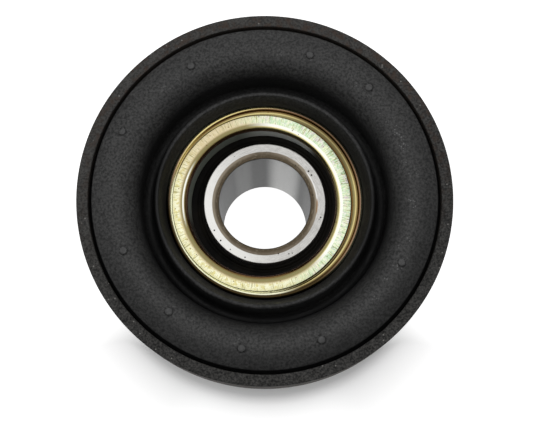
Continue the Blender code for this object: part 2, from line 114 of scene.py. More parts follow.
class NodeSheet:
    """A node tree with short ways to add nodes and join them."""

    def __init__(self, tree: bpy.types.NodeTree) -> None:
        """Takes an empty node tree to build in."""
        self.tree = tree

    @classmethod
    def cleared(cls, owner: bpy.types.Material | bpy.types.World) -> "NodeSheet":
        """The sheet of a material or a world, with nothing on it.

        Args:
            owner: The material or the world.

        Returns:
            Its sheet.
        """
        owner.use_nodes = True
        owner.node_tree.nodes.clear()
        return cls(owner.node_tree)

    def feed(self, socket: Socket, source: Source) -> None:
        """Joins a source to a socket, or sets the socket if the source is a plain value.

        Args:
            socket: The input to feed.
            source: An output socket, a number, a vector or a colour.
        """
        if isinstance(source, Socket):
            self.tree.links.new(source, socket)
        elif isinstance(source, tuple) and socket.type == "RGBA":
            socket.default_value = (*source, 1.0)
        else:
            socket.default_value = source

    def add(self, kind: str, inputs: Sources | None = None, **settings: object) -> bpy.types.Node:
        """Adds a node.

        Args:
            kind: The node's type name.
            inputs: Sources by socket name or number.
            **settings: Settings of the node itself.

        Returns:
            The node.
        """
        node = self.tree.nodes.new(kind)
        for name, setting in settings.items():
            setattr(node, name, setting)
        for name, source in (inputs or {}).items():
            self.feed(node.inputs[name], source)
        return node

    def calc(self, sum_kind: Calc, first: Source, second: Source = 0.0) -> Socket:
        """Does one sum on a value, or on two."""
        return self.add("ShaderNodeMath", {0: first, 1: second}, operation=sum_kind.value).outputs[0]

    def times(self, first: Source, second: Source) -> Socket:
        """One value times another."""
        return self.calc(Calc.MULTIPLY, first, second)

    def larger(self, first: Source, second: Source) -> Socket:
        """The larger of two values."""
        return self.calc(Calc.LARGER, first, second)

    def off(self, value: Source, middle: float) -> Socket:
        """How far a value is from a middle."""
        return self.calc(Calc.SIZE, self.calc(Calc.SUBTRACT, value, middle))

    def spread(self, value: Source, low: Source, high: Source, to_low: float = 0.0, to_high: float = 1.0) -> Socket:
        """Maps the range low to high onto to_low to to_high, smoothly and held at its ends."""
        inputs = {"Value": value, "From Min": low, "From Max": high, "To Min": to_low, "To Max": to_high}
        return self.add("ShaderNodeMapRange", inputs, interpolation_type="SMOOTHSTEP").outputs["Result"]

    def between(self, mask: Source, bare: float, full: float) -> Socket:
        """A value that is bare where the mask is 0 and full where it is 1."""
        return self.spread(mask, 0.0, 1.0, bare, full)

    def blend(self, share: Source, first: Source, second: Source) -> Socket:
        """Mixes two colours, of which the second shows by the share."""
        inputs = {0: share, 6: first, 7: second}
        return self.add("ShaderNodeMix", inputs, data_type="RGBA", clamp_factor=True).outputs[2]

    def ramp(self, value: Source, stops: Sequence[Stop]) -> Socket:
        """Runs a value through a row of colours.

        Args:
            value: The value, in the unit of the stops.
            stops: Places and their colours, in rising order.

        Returns:
            The colour's socket.
        """
        low, high = stops[0][0], stops[-1][0]
        share = self.add("ShaderNodeMapRange", {"Value": value, "From Min": low, "From Max": high})
        node = self.add("ShaderNodeValToRGB", {0: share.outputs["Result"]})
        marks = node.color_ramp.elements
        while len(marks) < len(stops):
            marks.new(1.0)
        for mark, (place, colour) in zip(marks, stops):
            mark.position = (place - low) / (high - low)
            mark.color = (*colour, 1.0)
        return node.outputs["Color"]

    def noise(self, place: Source, scale: Source, detail: float, roughness: float) -> Socket:
        """Noise from 0 to 1 with scale features per unit, finer layers and their strength."""
        inputs = {"Vector": place, "Scale": scale, "Detail": detail, "Roughness": roughness}
        return self.add("ShaderNodeTexNoise", inputs).outputs[0]

    def bumps(self, *layers: tuple[Source, float, float]) -> Socket:
        """Stacks bumps on one another.

        Args:
            *layers: Height, depth in metres and strength of each bump.

        Returns:
            The normal's socket.
        """
        under: dict[str, Source] = {}
        for height, depth, strength in layers:
            node = self.add("ShaderNodeBump", {"Height": height, "Distance": depth, "Strength": strength, **under})
            under = {"Normal": node.outputs[0]}
        return under["Normal"]


class ShaderGroup:
    """An effect that several materials share, built once as a node group."""

    name = "group"
    inputs: dict[str, tuple[Kind, Source]] = {}
    outputs: dict[str, Kind] = {}

    def tree(self) -> bpy.types.NodeTree:
        """The group's node tree, which is built at its first use.

        Returns:
            The node tree.
        """
        found = bpy.data.node_groups.get(self.name)
        if found:
            return found
        tree = bpy.data.node_groups.new(self.name, "ShaderNodeTree")
        for name, (kind, start) in self.inputs.items():
            tree.interface.new_socket(name, in_out="INPUT", socket_type=kind.value).default_value = start
        for name, kind in self.outputs.items():
            tree.interface.new_socket(name, in_out="OUTPUT", socket_type=kind.value)
        sheet = NodeSheet(tree)
        sheet.add("NodeGroupOutput", self.wire(sheet, sheet.add("NodeGroupInput").outputs))
        return tree

    def wire(self, sheet: NodeSheet, given: bpy.types.NodeOutputs) -> dict[str, Source]:
        """Builds the effect's nodes.

        Args:
            sheet: The group's own sheet.
            given: The group's inputs.

        Returns:
            The source of each output by name.
        """
        raise NotImplementedError

    def place(self, sheet: NodeSheet, **values: Source) -> bpy.types.NodeOutputs:
        """Puts the group into a tree.

        Args:
            sheet: Where it goes.
            **values: Sources by input name, with _ for each space.

        Returns:
            The group node's outputs.
        """
        node = sheet.add("ShaderNodeGroup", node_tree=self.tree())
        for name, source in values.items():
            sheet.feed(node.inputs[name.replace("_", " ")], source)
        return node.outputs


class PolarPlace(ShaderGroup):
    """Where a point lies round the bearing: radius and height in millimetres, and its spoke."""

    name = "polar_place"
    inputs = {"Centre": (Kind.VECTOR, AXIS)}
    outputs = {"Radius": Kind.NUMBER, "Height": Kind.NUMBER, "Spoke": Kind.VECTOR}

    def wire(self, sheet: NodeSheet, given: bpy.types.NodeOutputs) -> dict[str, Source]:
        """Measures from the centre in the piece's own coordinates.

        Args:
            sheet: The group's own sheet.
            given: The group's inputs.

        Returns:
            The source of each output by name.
        """
        place = sheet.add("ShaderNodeTexCoord").outputs["Object"]
        local = sheet.add("ShaderNodeVectorMath", {0: place, 1: given["Centre"]}, operation="SUBTRACT")
        parts = sheet.add("ShaderNodeSeparateXYZ", {0: local.outputs[0]}).outputs
        flat = sheet.add("ShaderNodeCombineXYZ", {"X": parts["X"], "Y": parts["Y"]}).outputs[0]
        length = sheet.add("ShaderNodeVectorMath", {0: flat}, operation="LENGTH").outputs["Value"]
        return {
            "Radius": sheet.calc(Calc.DIVIDE, length, MM),
            "Height": sheet.calc(Calc.DIVIDE, parts["Z"], MM),
            "Spoke": sheet.add("ShaderNodeVectorMath", {0: flat}, operation="NORMALIZE").outputs[0],
        }


class FineGrain(ShaderGroup):
    """Fine moulded or cast grain: a height and a slower, patchy share."""

    name = "fine_grain"
    inputs = {"Grains": (Kind.NUMBER, 4000.0), "Patches": (Kind.NUMBER, 120.0)}
    outputs = {"Height": Kind.NUMBER, "Patch": Kind.NUMBER}

    def wire(self, sheet: NodeSheet, given: bpy.types.NodeOutputs) -> dict[str, Source]:
        """Takes both from noise."""
        place = sheet.add("ShaderNodeTexCoord").outputs["Object"]
        return {
            "Height": sheet.noise(place, given["Grains"], 3.0, 0.6),
            "Patch": sheet.noise(place, given["Patches"], 4.0, 0.55),
        }


class StretchedMarks(ShaderGroup):
    """Marks from noise that is stretched along rings round a centre, or along its spokes."""

    outputs = {"Height": Kind.NUMBER}
    round_input = ""
    across_input = ""
    on_walls = False
    roughness = 0.6

    def wire(self, sheet: NodeSheet, given: bpy.types.NodeOutputs) -> dict[str, Source]:
        """Reads noise at the spoke's direction and the radius, each with its own scale.

        Args:
            sheet: The group's own sheet.
            given: The group's inputs.

        Returns:
            The source of each output by name.
        """
        polar = PolarPlace().place(sheet, Centre=given["Centre"])
        across = sheet.calc(Calc.ADD, polar["Radius"], polar["Height"]) if self.on_walls else polar["Radius"]
        inputs = {0: polar["Spoke"], "Scale": given[self.round_input]}
        spoke = sheet.add("ShaderNodeVectorMath", inputs, operation="SCALE").outputs[0]
        parts = sheet.add("ShaderNodeSeparateXYZ", {0: spoke}).outputs
        inputs = {"X": parts["X"], "Y": parts["Y"], "Z": sheet.times(across, given[self.across_input])}
        place = sheet.add("ShaderNodeCombineXYZ", inputs).outputs[0]
        return {"Height": sheet.noise(place, 1.0, 3.0, self.roughness)}


class TurningMarks(StretchedMarks):
    """Fine rings that turning, drawing or grinding leaves round the axis."""

    name = "turning_marks"
    inputs = {"Rings per mm": (Kind.NUMBER, 6.0), "Breaks": (Kind.NUMBER, 3.0), "Centre": (Kind.VECTOR, AXIS)}
    round_input = "Breaks"
    across_input = "Rings per mm"
    on_walls = True
    roughness = 0.65


class SpokeMarks(StretchedMarks):
    """Short marks that run outwards, as a pressing's strained surface shows."""

    name = "spoke_marks"
    inputs = {"Spokes": (Kind.NUMBER, 60.0), "Breaks per mm": (Kind.NUMBER, 0.4), "Centre": (Kind.VECTOR, AXIS)}
    round_input = "Spokes"
    across_input = "Breaks per mm"


class SparsePits(ShaderGroup):
    """Small scattered pits or specks, as a mask."""

    name = "sparse_pits"
    inputs = {"Cells": (Kind.NUMBER, 600.0), "Size": (Kind.NUMBER, 0.2), "Share": (Kind.NUMBER, 0.1)}
    outputs = {"Mask": Kind.NUMBER}

    def wire(self, sheet: NodeSheet, given: bpy.types.NodeOutputs) -> dict[str, Source]:
        """Splits the surface into cells, of which a share hold one pit each.

        Args:
            sheet: The group's own sheet.
            given: The group's inputs.

        Returns:
            The source of each output by name.
        """
        place = sheet.add("ShaderNodeTexCoord").outputs["Object"]
        cells = sheet.add("ShaderNodeTexVoronoi", {"Vector": place, "Scale": given["Cells"]}).outputs
        chance = sheet.add("ShaderNodeSeparateColor", {0: cells["Color"]}).outputs[0]
        dot = sheet.spread(cells["Distance"], sheet.times(given["Size"], 0.6), given["Size"], 1.0, 0.0)
        return {"Mask": sheet.times(dot, sheet.calc(Calc.BELOW, chance, given["Share"]))}


class PatchyTint(ShaderGroup):
    """One colour that shows through another in soft patches."""

    name = "patchy_tint"
    inputs = {
        "Base": (Kind.COLOUR, (0.5, 0.5, 0.5, 1.0)),
        "Tint": (Kind.COLOUR, (0.5, 0.5, 0.5, 1.0)),
        "Scale": (Kind.NUMBER, 80.0),
        "Bare": (Kind.NUMBER, 0.5),
        "Full": (Kind.NUMBER, 0.7),
    }
    outputs = {"Color": Kind.COLOUR, "Mask": Kind.NUMBER}

    def wire(self, sheet: NodeSheet, given: bpy.types.NodeOutputs) -> dict[str, Source]:
        """Takes the patches from broken noise.

        Args:
            sheet: The group's own sheet.
            given: The group's inputs.

        Returns:
            The source of each output by name.
        """
        place = sheet.add("ShaderNodeTexCoord").outputs["Object"]
        mask = sheet.spread(sheet.noise(place, given["Scale"], 5.0, 0.65), given["Bare"], given["Full"])
        return {"Color": sheet.blend(mask, given["Base"], given["Tint"]), "Mask": mask}


class TurnedPatch(ShaderGroup):
    """A soft mask that is strongest on one side of the axis."""

    name = "turned_patch"
    inputs = {"Facing": (Kind.VECTOR, (1.0, 0.0, 0.0)), "Edge": (Kind.NUMBER, 0.2), "Core": (Kind.NUMBER, 0.9)}
    outputs = {"Mask": Kind.NUMBER}

    def wire(self, sheet: NodeSheet, given: bpy.types.NodeOutputs) -> dict[str, Source]:
        """Takes the mask from the spoke's lean towards the side.

        Args:
            sheet: The group's own sheet.
            given: The group's inputs.

        Returns:
            The source of each output by name.
        """
        spoke = PolarPlace().place(sheet)["Spoke"]
        lean = sheet.add("ShaderNodeVectorMath", {0: spoke, 1: given["Facing"]}, operation="DOT_PRODUCT")
        return {"Mask": sheet.spread(lean.outputs["Value"], given["Edge"], given["Core"])}


def radius_from(sheet: NodeSheet, centre: Place = AXIS) -> Socket:
    """The distance from an upright line through the centre, in millimetres."""
    return PolarPlace().place(sheet, Centre=centre)["Radius"]


def facing(sheet: NodeSheet, side: Shift, edge: float, core: float) -> Socket:
    """A soft mask on the side that faces one way, from its edge to its core. See TurnedPatch."""
    return TurnedPatch().place(sheet, Facing=(*side, 0.0), Edge=edge, Core=core)["Mask"]


def patches(sheet: NodeSheet, scale: float, bare: float, full: float) -> Socket:
    """A mask of soft patches. See PatchyTint."""
    return PatchyTint().place(sheet, Scale=scale, Bare=bare, Full=full)["Mask"]


def scattered(sheet: NodeSheet, cells: float, size: float, share: float) -> Socket:
    """A mask of small scattered specks. See SparsePits."""
    return SparsePits().place(sheet, Cells=cells, Size=size, Share=share)["Mask"]


# Finishes


@dataclass(frozen=True)
class Finish:
    """A finish that is made once and then shared by the pieces that have it."""

    name: str

    def material(self) -> bpy.types.Material:
        """The finish as a material, made at its first use.

        Returns:
            The material.
        """
        found = bpy.data.materials.get(self.name)
        if found:
            return found
        made = bpy.data.materials.new(self.name)
        sheet = NodeSheet.cleared(made)
        shader = sheet.add("ShaderNodeBsdfPrincipled", self.looks(sheet))
        sheet.add("ShaderNodeOutputMaterial", {"Surface": shader.outputs[0]})
        return made

    def looks(self, sheet: NodeSheet) -> dict[str, Source]:
        """Builds what the finish looks like.

        Args:
            sheet: The material's sheet.

        Returns:
            Sources for the Principled shader's inputs, by name.
        """
        raise NotImplementedError


@dataclass(frozen=True)
class BandSteelFinish(Finish):
    """Blackened steel with a rough sheared edge, brown tints, a few bright specks and painted light on its
    upper-left side.
    """

    name: str = "blackened_band_steel"
    base: Colour = (0.013, 0.013, 0.0127)
    worn_and_lit: Colour = (0.078, 0.0755, 0.071)
    rust: Colour = (0.095, 0.062, 0.046)
    speck: Colour = (0.34, 0.33, 0.31)
    wall: Colour = (0.045, 0.036, 0.028)
    front: float = 61.05

    def looks(self, sheet: NodeSheet) -> dict[str, Source]:
        """Patches of grain and wear with painted light on the upper-left side, rust at the upper sides, specks, and
        the wall below the front edge.

        Args:
            sheet: The material's sheet.

        Returns:
            Sources for the Principled shader's inputs, by name.
        """
        grain = FineGrain().place(sheet, Grains=1500.0, Patches=420.0)
        # painted light: the upper-left side of the face is lightened towards the lighter grey, on top of the
        # grain's wear
        lit_upper_side = sheet.times(facing(sheet, (-0.5, 0.87), -0.4, 0.8), 0.3)
        brightened = sheet.calc(Calc.ADD, sheet.spread(grain["Height"], 0.34, 0.68), lit_upper_side)
        worn_and_lit = sheet.blend(brightened, self.base, self.worn_and_lit)
        rusty_side = sheet.times(facing(sheet, (0.0, 1.0), -0.5, 0.9), 0.6)
        rusted = sheet.blend(sheet.times(patches(sheet, 420.0, 0.48, 0.62), rusty_side), worn_and_lit, self.rust)
        specked = sheet.blend(sheet.times(scattered(sheet, 1000.0, 0.3, 0.07), 0.7), rusted, self.speck)
        height = PolarPlace().place(sheet)["Height"]
        on_wall = sheet.spread(height, self.front - 0.2, self.front + 0.1, 1.0, 0.0)
        unpitted = sheet.calc(Calc.SUBTRACT, 1.0, scattered(sheet, 900.0, 0.4, 0.3))
        return {
            "Base Color": sheet.blend(on_wall, specked, self.wall),
            "Roughness": sheet.spread(grain["Patch"], 0.3, 0.7, 0.62, 0.86),
            "Metallic": sheet.between(on_wall, 0.35, 0.0),
            "Normal": sheet.bumps((grain["Height"], 0.12 * MM, 0.8), (unpitted, 0.1 * MM, 0.5)),
        }


@dataclass(frozen=True)
class CushionRubberFinish(Finish):
    """Matt moulded rubber with a faint bloom, light specks, and painted light and shade over its crown, collar and
    gaps.
    """

    name: str = "moulded_cushion_rubber"
    base: Colour = (0.022, 0.022, 0.022)
    bloom_and_sheen: Colour = (0.085, 0.085, 0.084)
    # painted shade: the near-black that the valley and the gap at the edge take
    black: Colour = (0.006, 0.0062, 0.0065)
    speck_and_highlight: Colour = (0.17, 0.17, 0.171)
    shine: float = 0.34
    collar_rise: Shift = (31.5, 34.5)
    collar_fall: Shift = (35.9, 37.4)
    # the collar's painted light is centred here, off the axis towards its highlight
    collar_centre: Place = (0.9 * MM, 0.2 * MM, 0.0)
    crown: Shift = (35.6, 43.6)
    crest: float = 47.0
    crest_width: float = 4.5
    pip_tops: Shift = (64.22, 64.4)
    edge: Shift = (54.8, 55.2)

    def bloom_light_and_shade(self, sheet: NodeSheet) -> Socket:
        """How much of the bloom shows: all on the crown, some on the collar, none in the gaps. The share also
        paints light and shade: the collar lighter at its top and bottom, the crown darker towards the lower side,
        and painted shade in the valley and the gap at the edge.

        Args:
            sheet: The material's sheet.

        Returns:
            The share's socket.
        """
        # painted light: the collar lighter at its top and bottom
        upper = sheet.between(facing(sheet, (0.1, 0.99), 0.0, 0.9), 0.06, 0.8)
        bottom = sheet.between(facing(sheet, (-0.1, -0.99), 0.2, 0.9), 0.06, 0.66)
        across = radius_from(sheet, self.collar_centre)
        rise = sheet.times(sheet.spread(across, *self.collar_rise, 0.2, 1.0), sheet.larger(upper, bottom))
        on_collar = sheet.times(rise, sheet.spread(across, *self.collar_fall, 1.0, 0.0))
        radius = radius_from(sheet)
        # painted shade: darker towards the lower side, round the crest
        lower = sheet.between(facing(sheet, (0.2, -0.98), -0.4, 0.7), 0.06, 0.42)
        darker = sheet.times(sheet.spread(sheet.off(radius, self.crest), 0.0, self.crest_width), lower)
        on_crown = sheet.calc(Calc.SUBTRACT, sheet.spread(radius, *self.crown), darker)
        # painted shade: towards black in the valley and in the gap beyond the edge
        return sheet.times(sheet.larger(on_collar, on_crown), sheet.spread(radius, *self.edge, 1.0, 0.0))

    def specks_and_pip_highlights(self, sheet: NodeSheet) -> Socket:
        """Where the crown has light specks: along its crest, most at the right, and painted highlights on the pips'
        tops.

        Args:
            sheet: The material's sheet.

        Returns:
            The mask's socket.
        """
        polar = PolarPlace().place(sheet)
        near_crest = sheet.spread(sheet.off(polar["Radius"], self.crest), 0.4, 3.0, 1.0, 0.06)
        along_crest = sheet.times(near_crest, patches(sheet, 330.0, 0.46, 0.62))
        right_side = sheet.between(facing(sheet, (1.0, 0.05), 0.5, 1.0), 0.4, 1.0)
        specks = sheet.times(scattered(sheet, 1500.0, 0.5, 0.45), sheet.times(along_crest, right_side))
        # painted highlight: the pips' tops lightened towards the speck grey
        return sheet.larger(specks, sheet.spread(polar["Height"], *self.pip_tops, 0.0, 0.3))

    def looks(self, sheet: NodeSheet) -> dict[str, Source]:
        """The bloom with its painted light and shade, the light specks and pip highlights, moulded grain and faint
        flow rings.

        Args:
            sheet: The material's sheet.

        Returns:
            Sources for the Principled shader's inputs, by name.
        """
        grain = FineGrain().place(sheet, Grains=1250.0, Patches=150.0)
        patchy = sheet.spread(grain["Patch"], 0.25, 0.75, 0.7, 1.0)
        mottle = sheet.times(patchy, sheet.spread(grain["Height"], 0.32, 0.68))
        bloom_and_sheen = sheet.blend(self.bloom_light_and_shade(sheet), self.black, sheet.blend(mottle, self.base, self.bloom_and_sheen))
        flow = TurningMarks().place(sheet, Rings_per_mm=0.8, Breaks=1.5)["Height"]
        return {
            "Base Color": sheet.blend(self.specks_and_pip_highlights(sheet), bloom_and_sheen, self.speck_and_highlight),
            "Roughness": sheet.spread(grain["Patch"], 0.3, 0.7, 0.5, 0.62),
            "Specular IOR Level": self.shine,
            "Normal": sheet.bumps((grain["Height"], 0.16 * MM, 0.8), (flow, 0.05 * MM, 0.25)),
        }


@dataclass(frozen=True)
class PassivatedZincFinish(Finish):
    """Bright zinc under a thin passivation: pale yellow to green on the face, brown at the bends, with painted
    highlights, a painted glint and painted shade laid in by side.

    The dome, its crest, its side with the painted highlight, the roll and the flange each have a centre
    of their own, a little off the axis.
    """

    name: str = "passivated_zinc"
    yellow: Colour = (0.78, 0.75, 0.42)
    pale: Colour = (0.95, 0.94, 0.68)
    # white: flecks on the face, and the painted highlight and glint on the dome
    white: Colour = (0.98, 0.98, 0.90)
    washed: Colour = (0.84, 0.89, 0.60)
    fleck: Colour = (0.70, 0.61, 0.20)
    green: Colour = (0.55, 0.76, 0.48)
    lilac: Colour = (0.74, 0.66, 0.66)
    tan: Colour = (0.69, 0.57, 0.36)
    mark: Colour = (0.36, 0.33, 0.14)
    brown: Colour = (0.17, 0.092, 0.026)
    shade_umber: Colour = (0.05, 0.034, 0.014)
    olive: Colour = (0.25, 0.225, 0.10)
    bronze: Colour = (0.31, 0.255, 0.115)
    rose: Colour = (0.30, 0.18, 0.14)
    gold_highlight: Colour = (0.78, 0.66, 0.29)
    wall: Colour = (0.30, 0.33, 0.28)
    wall_lit: Colour = (0.95, 0.98, 0.93)
    wall_shade: Colour = (0.06, 0.055, 0.045)
    centre: Place = (-1.0 * MM, -0.45 * MM, 0.0)
    crown_centre: Place = (-1.1 * MM, -0.55 * MM, 0.0)
    lit_centre: Place = (-1.6 * MM, -1.1 * MM, 0.0)
    roll_centre: Place = (0.6 * MM, 0.35 * MM, 0.0)
    flange_centre: Place = (-0.3 * MM, 0.0, 0.0)
    glint: float = 25.4
    face_start: Shift = (26.0, 27.2)
    lit_face_start: Shift = (26.8, 27.1)
    yellow_edge: Shift = (27.7, 28.8)
    foot: Shift = (28.8, 29.0)
    flange: Shift = (30.25, 30.6)
    dark_ring: Shift = (30.0, 30.35)
    roll: float = 31.0
    wall_radius: float = 24.3
    wall_top: float = 52.4

    def spokes(self, sheet: NodeSheet, count: float, breaks: float) -> Socket:
        """Marks that run out over the drawn dome. See SpokeMarks."""
        return SpokeMarks().place(sheet, Spokes=count, Breaks_per_mm=breaks, Centre=self.centre)["Height"]

    def face_colour(self, sheet: NodeSheet) -> Socket:
        """The film's colour on the dome's face, green and lilac at the right and tan at the top.

        Args:
            sheet: The material's sheet.

        Returns:
            The colour's socket.
        """
        tint = PatchyTint().place(sheet, Base=self.yellow, Tint=self.pale, Scale=300.0, Bare=0.3, Full=0.58)
        streaked = sheet.blend(sheet.spread(self.spokes(sheet, 26.0, 0.5), 0.45, 0.75), tint["Color"], self.pale)
        flecks = patches(sheet, 1000.0, 0.47, 0.6)
        flecked = sheet.blend(sheet.times(flecks, 0.75), streaked, self.fleck)
        outwards = sheet.spread(radius_from(sheet, self.centre), *self.yellow_edge, 0.0, 0.7)
        yellowed = sheet.blend(sheet.times(outwards, 0.8), flecked, self.yellow)
        tanned = sheet.blend(sheet.times(facing(sheet, (-0.5, 0.87), 0.6, 1.0), 0.8), yellowed, self.tan)
        blotches = sheet.blend(patches(sheet, 520.0, 0.5, 0.62), self.green, self.lilac)
        cloudy = sheet.blend(sheet.spread(self.spokes(sheet, 48.0, 0.6), 0.42, 0.62), blotches, self.washed)
        clouded = sheet.blend(sheet.times(flecks, 0.5), cloudy, self.white)
        greened = sheet.blend(facing(sheet, (0.95, 0.31), -0.25, 0.5), tanned, clouded)
        scores = sheet.spread(self.spokes(sheet, 75.0, 0.22), 0.53, 0.66, 0.0, 0.8)
        return sheet.blend(scores, greened, self.mark)

    def dome_colour(self, sheet: NodeSheet) -> Socket:
        """The dome's colour from its lip out to its foot: a lit copy with a painted white highlight on the crest at
        the right, a shaded copy elsewhere, and a painted glint at the left.

        Args:
            sheet: The material's sheet.

        Returns:
            The colour's socket.
        """
        # painted shade: the darker film ramp, away from the right side
        shaded_film = (
            (24.0, self.rose), (24.6, self.brown), (25.3, self.olive), (26.0, self.bronze), (26.7, self.tan),
        )
        # painted light: the right side's ramp, with a painted white highlight on the crest
        lit_film = (
            (24.6, self.rose), (25.1, self.bronze), (25.6, self.olive), (25.85, self.gold_highlight), (26.1, self.white),
            (26.85, self.white),
        )
        dull = radius_from(sheet, self.crown_centre)
        bright = radius_from(sheet, self.lit_centre)
        right = facing(sheet, (0.93, 0.37), 0.1, 0.5)
        left = facing(sheet, (-1.0, 0.1), 0.9, 1.0)
        # painted glint: a thin white line on the crest at the left
        glint = sheet.times(left, sheet.spread(sheet.off(dull, self.glint), 0.1, 0.4, 1.0, 0.0))
        inside = sheet.blend(right, sheet.ramp(dull, shaded_film), sheet.ramp(bright, lit_film))
        lit_reached = sheet.spread(bright, *self.lit_face_start)
        reached = sheet.blend(right, sheet.spread(dull, *self.face_start), lit_reached)
        return sheet.blend(glint, sheet.blend(reached, inside, self.face_colour(sheet)), self.white)

    def rim_colour(self, sheet: NodeSheet) -> Socket:
        """The rings outside the dome, with painted light and shade: bright at the left, a bright roll at the top,
        brown elsewhere.

        Args:
            sheet: The material's sheet.

        Returns:
            The colour's socket.
        """
        # gold lines on the ridges and browns in the grooves: painted highlights and shade over the film's own tints
        outer_film_and_light = (
            (28.1, self.brown), (28.6, self.brown), (29.0, self.olive), (29.4, self.bronze), (29.7, self.gold_highlight),
            (29.95, self.bronze), (30.3, self.brown), (30.8, self.brown), (31.05, self.rose), (31.3, self.bronze),
            (31.6, self.pale),
        )
        radius = radius_from(sheet)
        # painted shade towards the upper right
        dimmed = sheet.times(facing(sheet, (0.71, 0.7), 0.8, 1.0), 0.55)
        film = sheet.blend(dimmed, sheet.ramp(radius, outer_film_and_light), self.shade_umber)
        # painted shade on the dark ring towards the bottom
        darkened = sheet.times(facing(sheet, (-0.45, -0.89), 0.0, 0.55), sheet.spread(radius, *self.dark_ring))
        off_roll = sheet.off(radius_from(sheet, self.roll_centre), self.roll)
        # painted highlight on the rolled mouth towards the upper left
        rolled = sheet.times(facing(sheet, (-0.5, 0.87), 0.55, 0.9), sheet.spread(off_roll, 0.16, 0.45, 1.0, 0.0))
        rings = sheet.blend(rolled, sheet.blend(darkened, film, self.shade_umber), self.gold_highlight)
        on_flange = sheet.spread(radius_from(sheet, self.flange_centre), *self.flange, 1.0, 0.0)
        # painted light: the flange pale towards the lower left
        return sheet.blend(sheet.times(facing(sheet, (-0.71, -0.7), 0.35, 0.65), on_flange), rings, self.pale)

    def looks(self, sheet: NodeSheet) -> dict[str, Source]:
        """The film, pressing marks, fine rings, specks and the dull wall inside the lip, with painted light at the
        wall's top and painted shade elsewhere round it.

        Args:
            sheet: The material's sheet.

        Returns:
            Sources for the Principled shader's inputs, by name.
        """
        polar = PolarPlace().place(sheet, Centre=self.centre)
        past_foot = sheet.spread(polar["Radius"], *self.foot)
        film = sheet.blend(past_foot, self.dome_colour(sheet), self.rim_colour(sheet))
        specked = sheet.blend(sheet.times(scattered(sheet, 1000.0, 0.26, 0.08), 0.8), film, self.brown)
        below = sheet.spread(polar["Height"], self.wall_top - 0.3, self.wall_top + 0.3, 1.0, 0.0)
        within = sheet.spread(polar["Radius"], self.wall_radius - 0.1, self.wall_radius + 0.1, 1.0, 0.0)
        dull = sheet.times(below, within)
        # painted light and shade on the wall inside the lip: bright at the top, dark round the rest
        lit_wall = sheet.blend(facing(sheet, (0.34, 0.94), 0.75, 0.97), self.wall, self.wall_lit)
        wall = sheet.blend(facing(sheet, (-0.5, 0.87), 0.2, 0.45), self.wall_shade, lit_wall)
        fine_spokes = self.spokes(sheet, 120.0, 0.35)
        polish = sheet.spread(fine_spokes, 0.3, 0.7, 0.12, 0.26)
        rings = TurningMarks().place(sheet, Rings_per_mm=3.5, Breaks=6.0, Centre=self.centre)["Height"]
        return {
            "Base Color": sheet.blend(dull, specked, wall),
            "Metallic": sheet.between(dull, 1.0, 0.0),
            "Roughness": sheet.larger(polish, sheet.times(dull, 0.4)),
            "Normal": sheet.bumps((fine_spokes, 0.05 * MM, 0.35), (rings, 0.03 * MM, 0.3)),
        }


@dataclass(frozen=True)
class SealRubberFinish(Finish):
    """Smooth black seal rubber with a thin film of grease, lighter on its right side."""

    name: str = "greased_seal_rubber"
    base: Colour = (0.004, 0.0036, 0.003)
    film: Colour = (0.010, 0.0084, 0.006)
    right_side_tint: Colour = (0.0155, 0.0135, 0.011)
    shine: float = 0.1

    def looks(self, sheet: NodeSheet) -> dict[str, Source]:
        """The film, its gloss, the lighter right side and moulded rings.

        Args:
            sheet: The material's sheet.

        Returns:
            Sources for the Principled shader's inputs, by name.
        """
        grain = FineGrain().place(sheet, Grains=2400.0, Patches=200.0)
        film = PatchyTint().place(sheet, Base=self.base, Tint=self.film, Scale=140.0, Bare=0.4, Full=0.65)
        right_side = facing(sheet, (1.0, 0.1), -0.2, 0.8)
        greasy = sheet.times(sheet.between(film["Mask"], 0.0, -0.16), right_side)
        rings = TurningMarks().place(sheet, Rings_per_mm=1.6, Breaks=2.0)["Height"]
        return {
            "Base Color": sheet.blend(right_side, film["Color"], self.right_side_tint),
            "Roughness": sheet.calc(Calc.ADD, greasy, sheet.between(right_side, 0.62, 0.48)),
            "Specular IOR Level": self.shine,
            "Normal": sheet.bumps((rings, 0.06 * MM, 0.4), (grain["Height"], 0.03 * MM, 0.4)),
        }


@dataclass(frozen=True)
class Pit:
    """One dent in the ground face: its place and size in millimetres."""

    x: float
    y: float
    size: float


@dataclass(frozen=True)
class BoreReflection:
    """A painted reflection along the bore: its turn in degrees, its strength and where its side mask starts."""

    turn: float
    strength: float
    edge: float


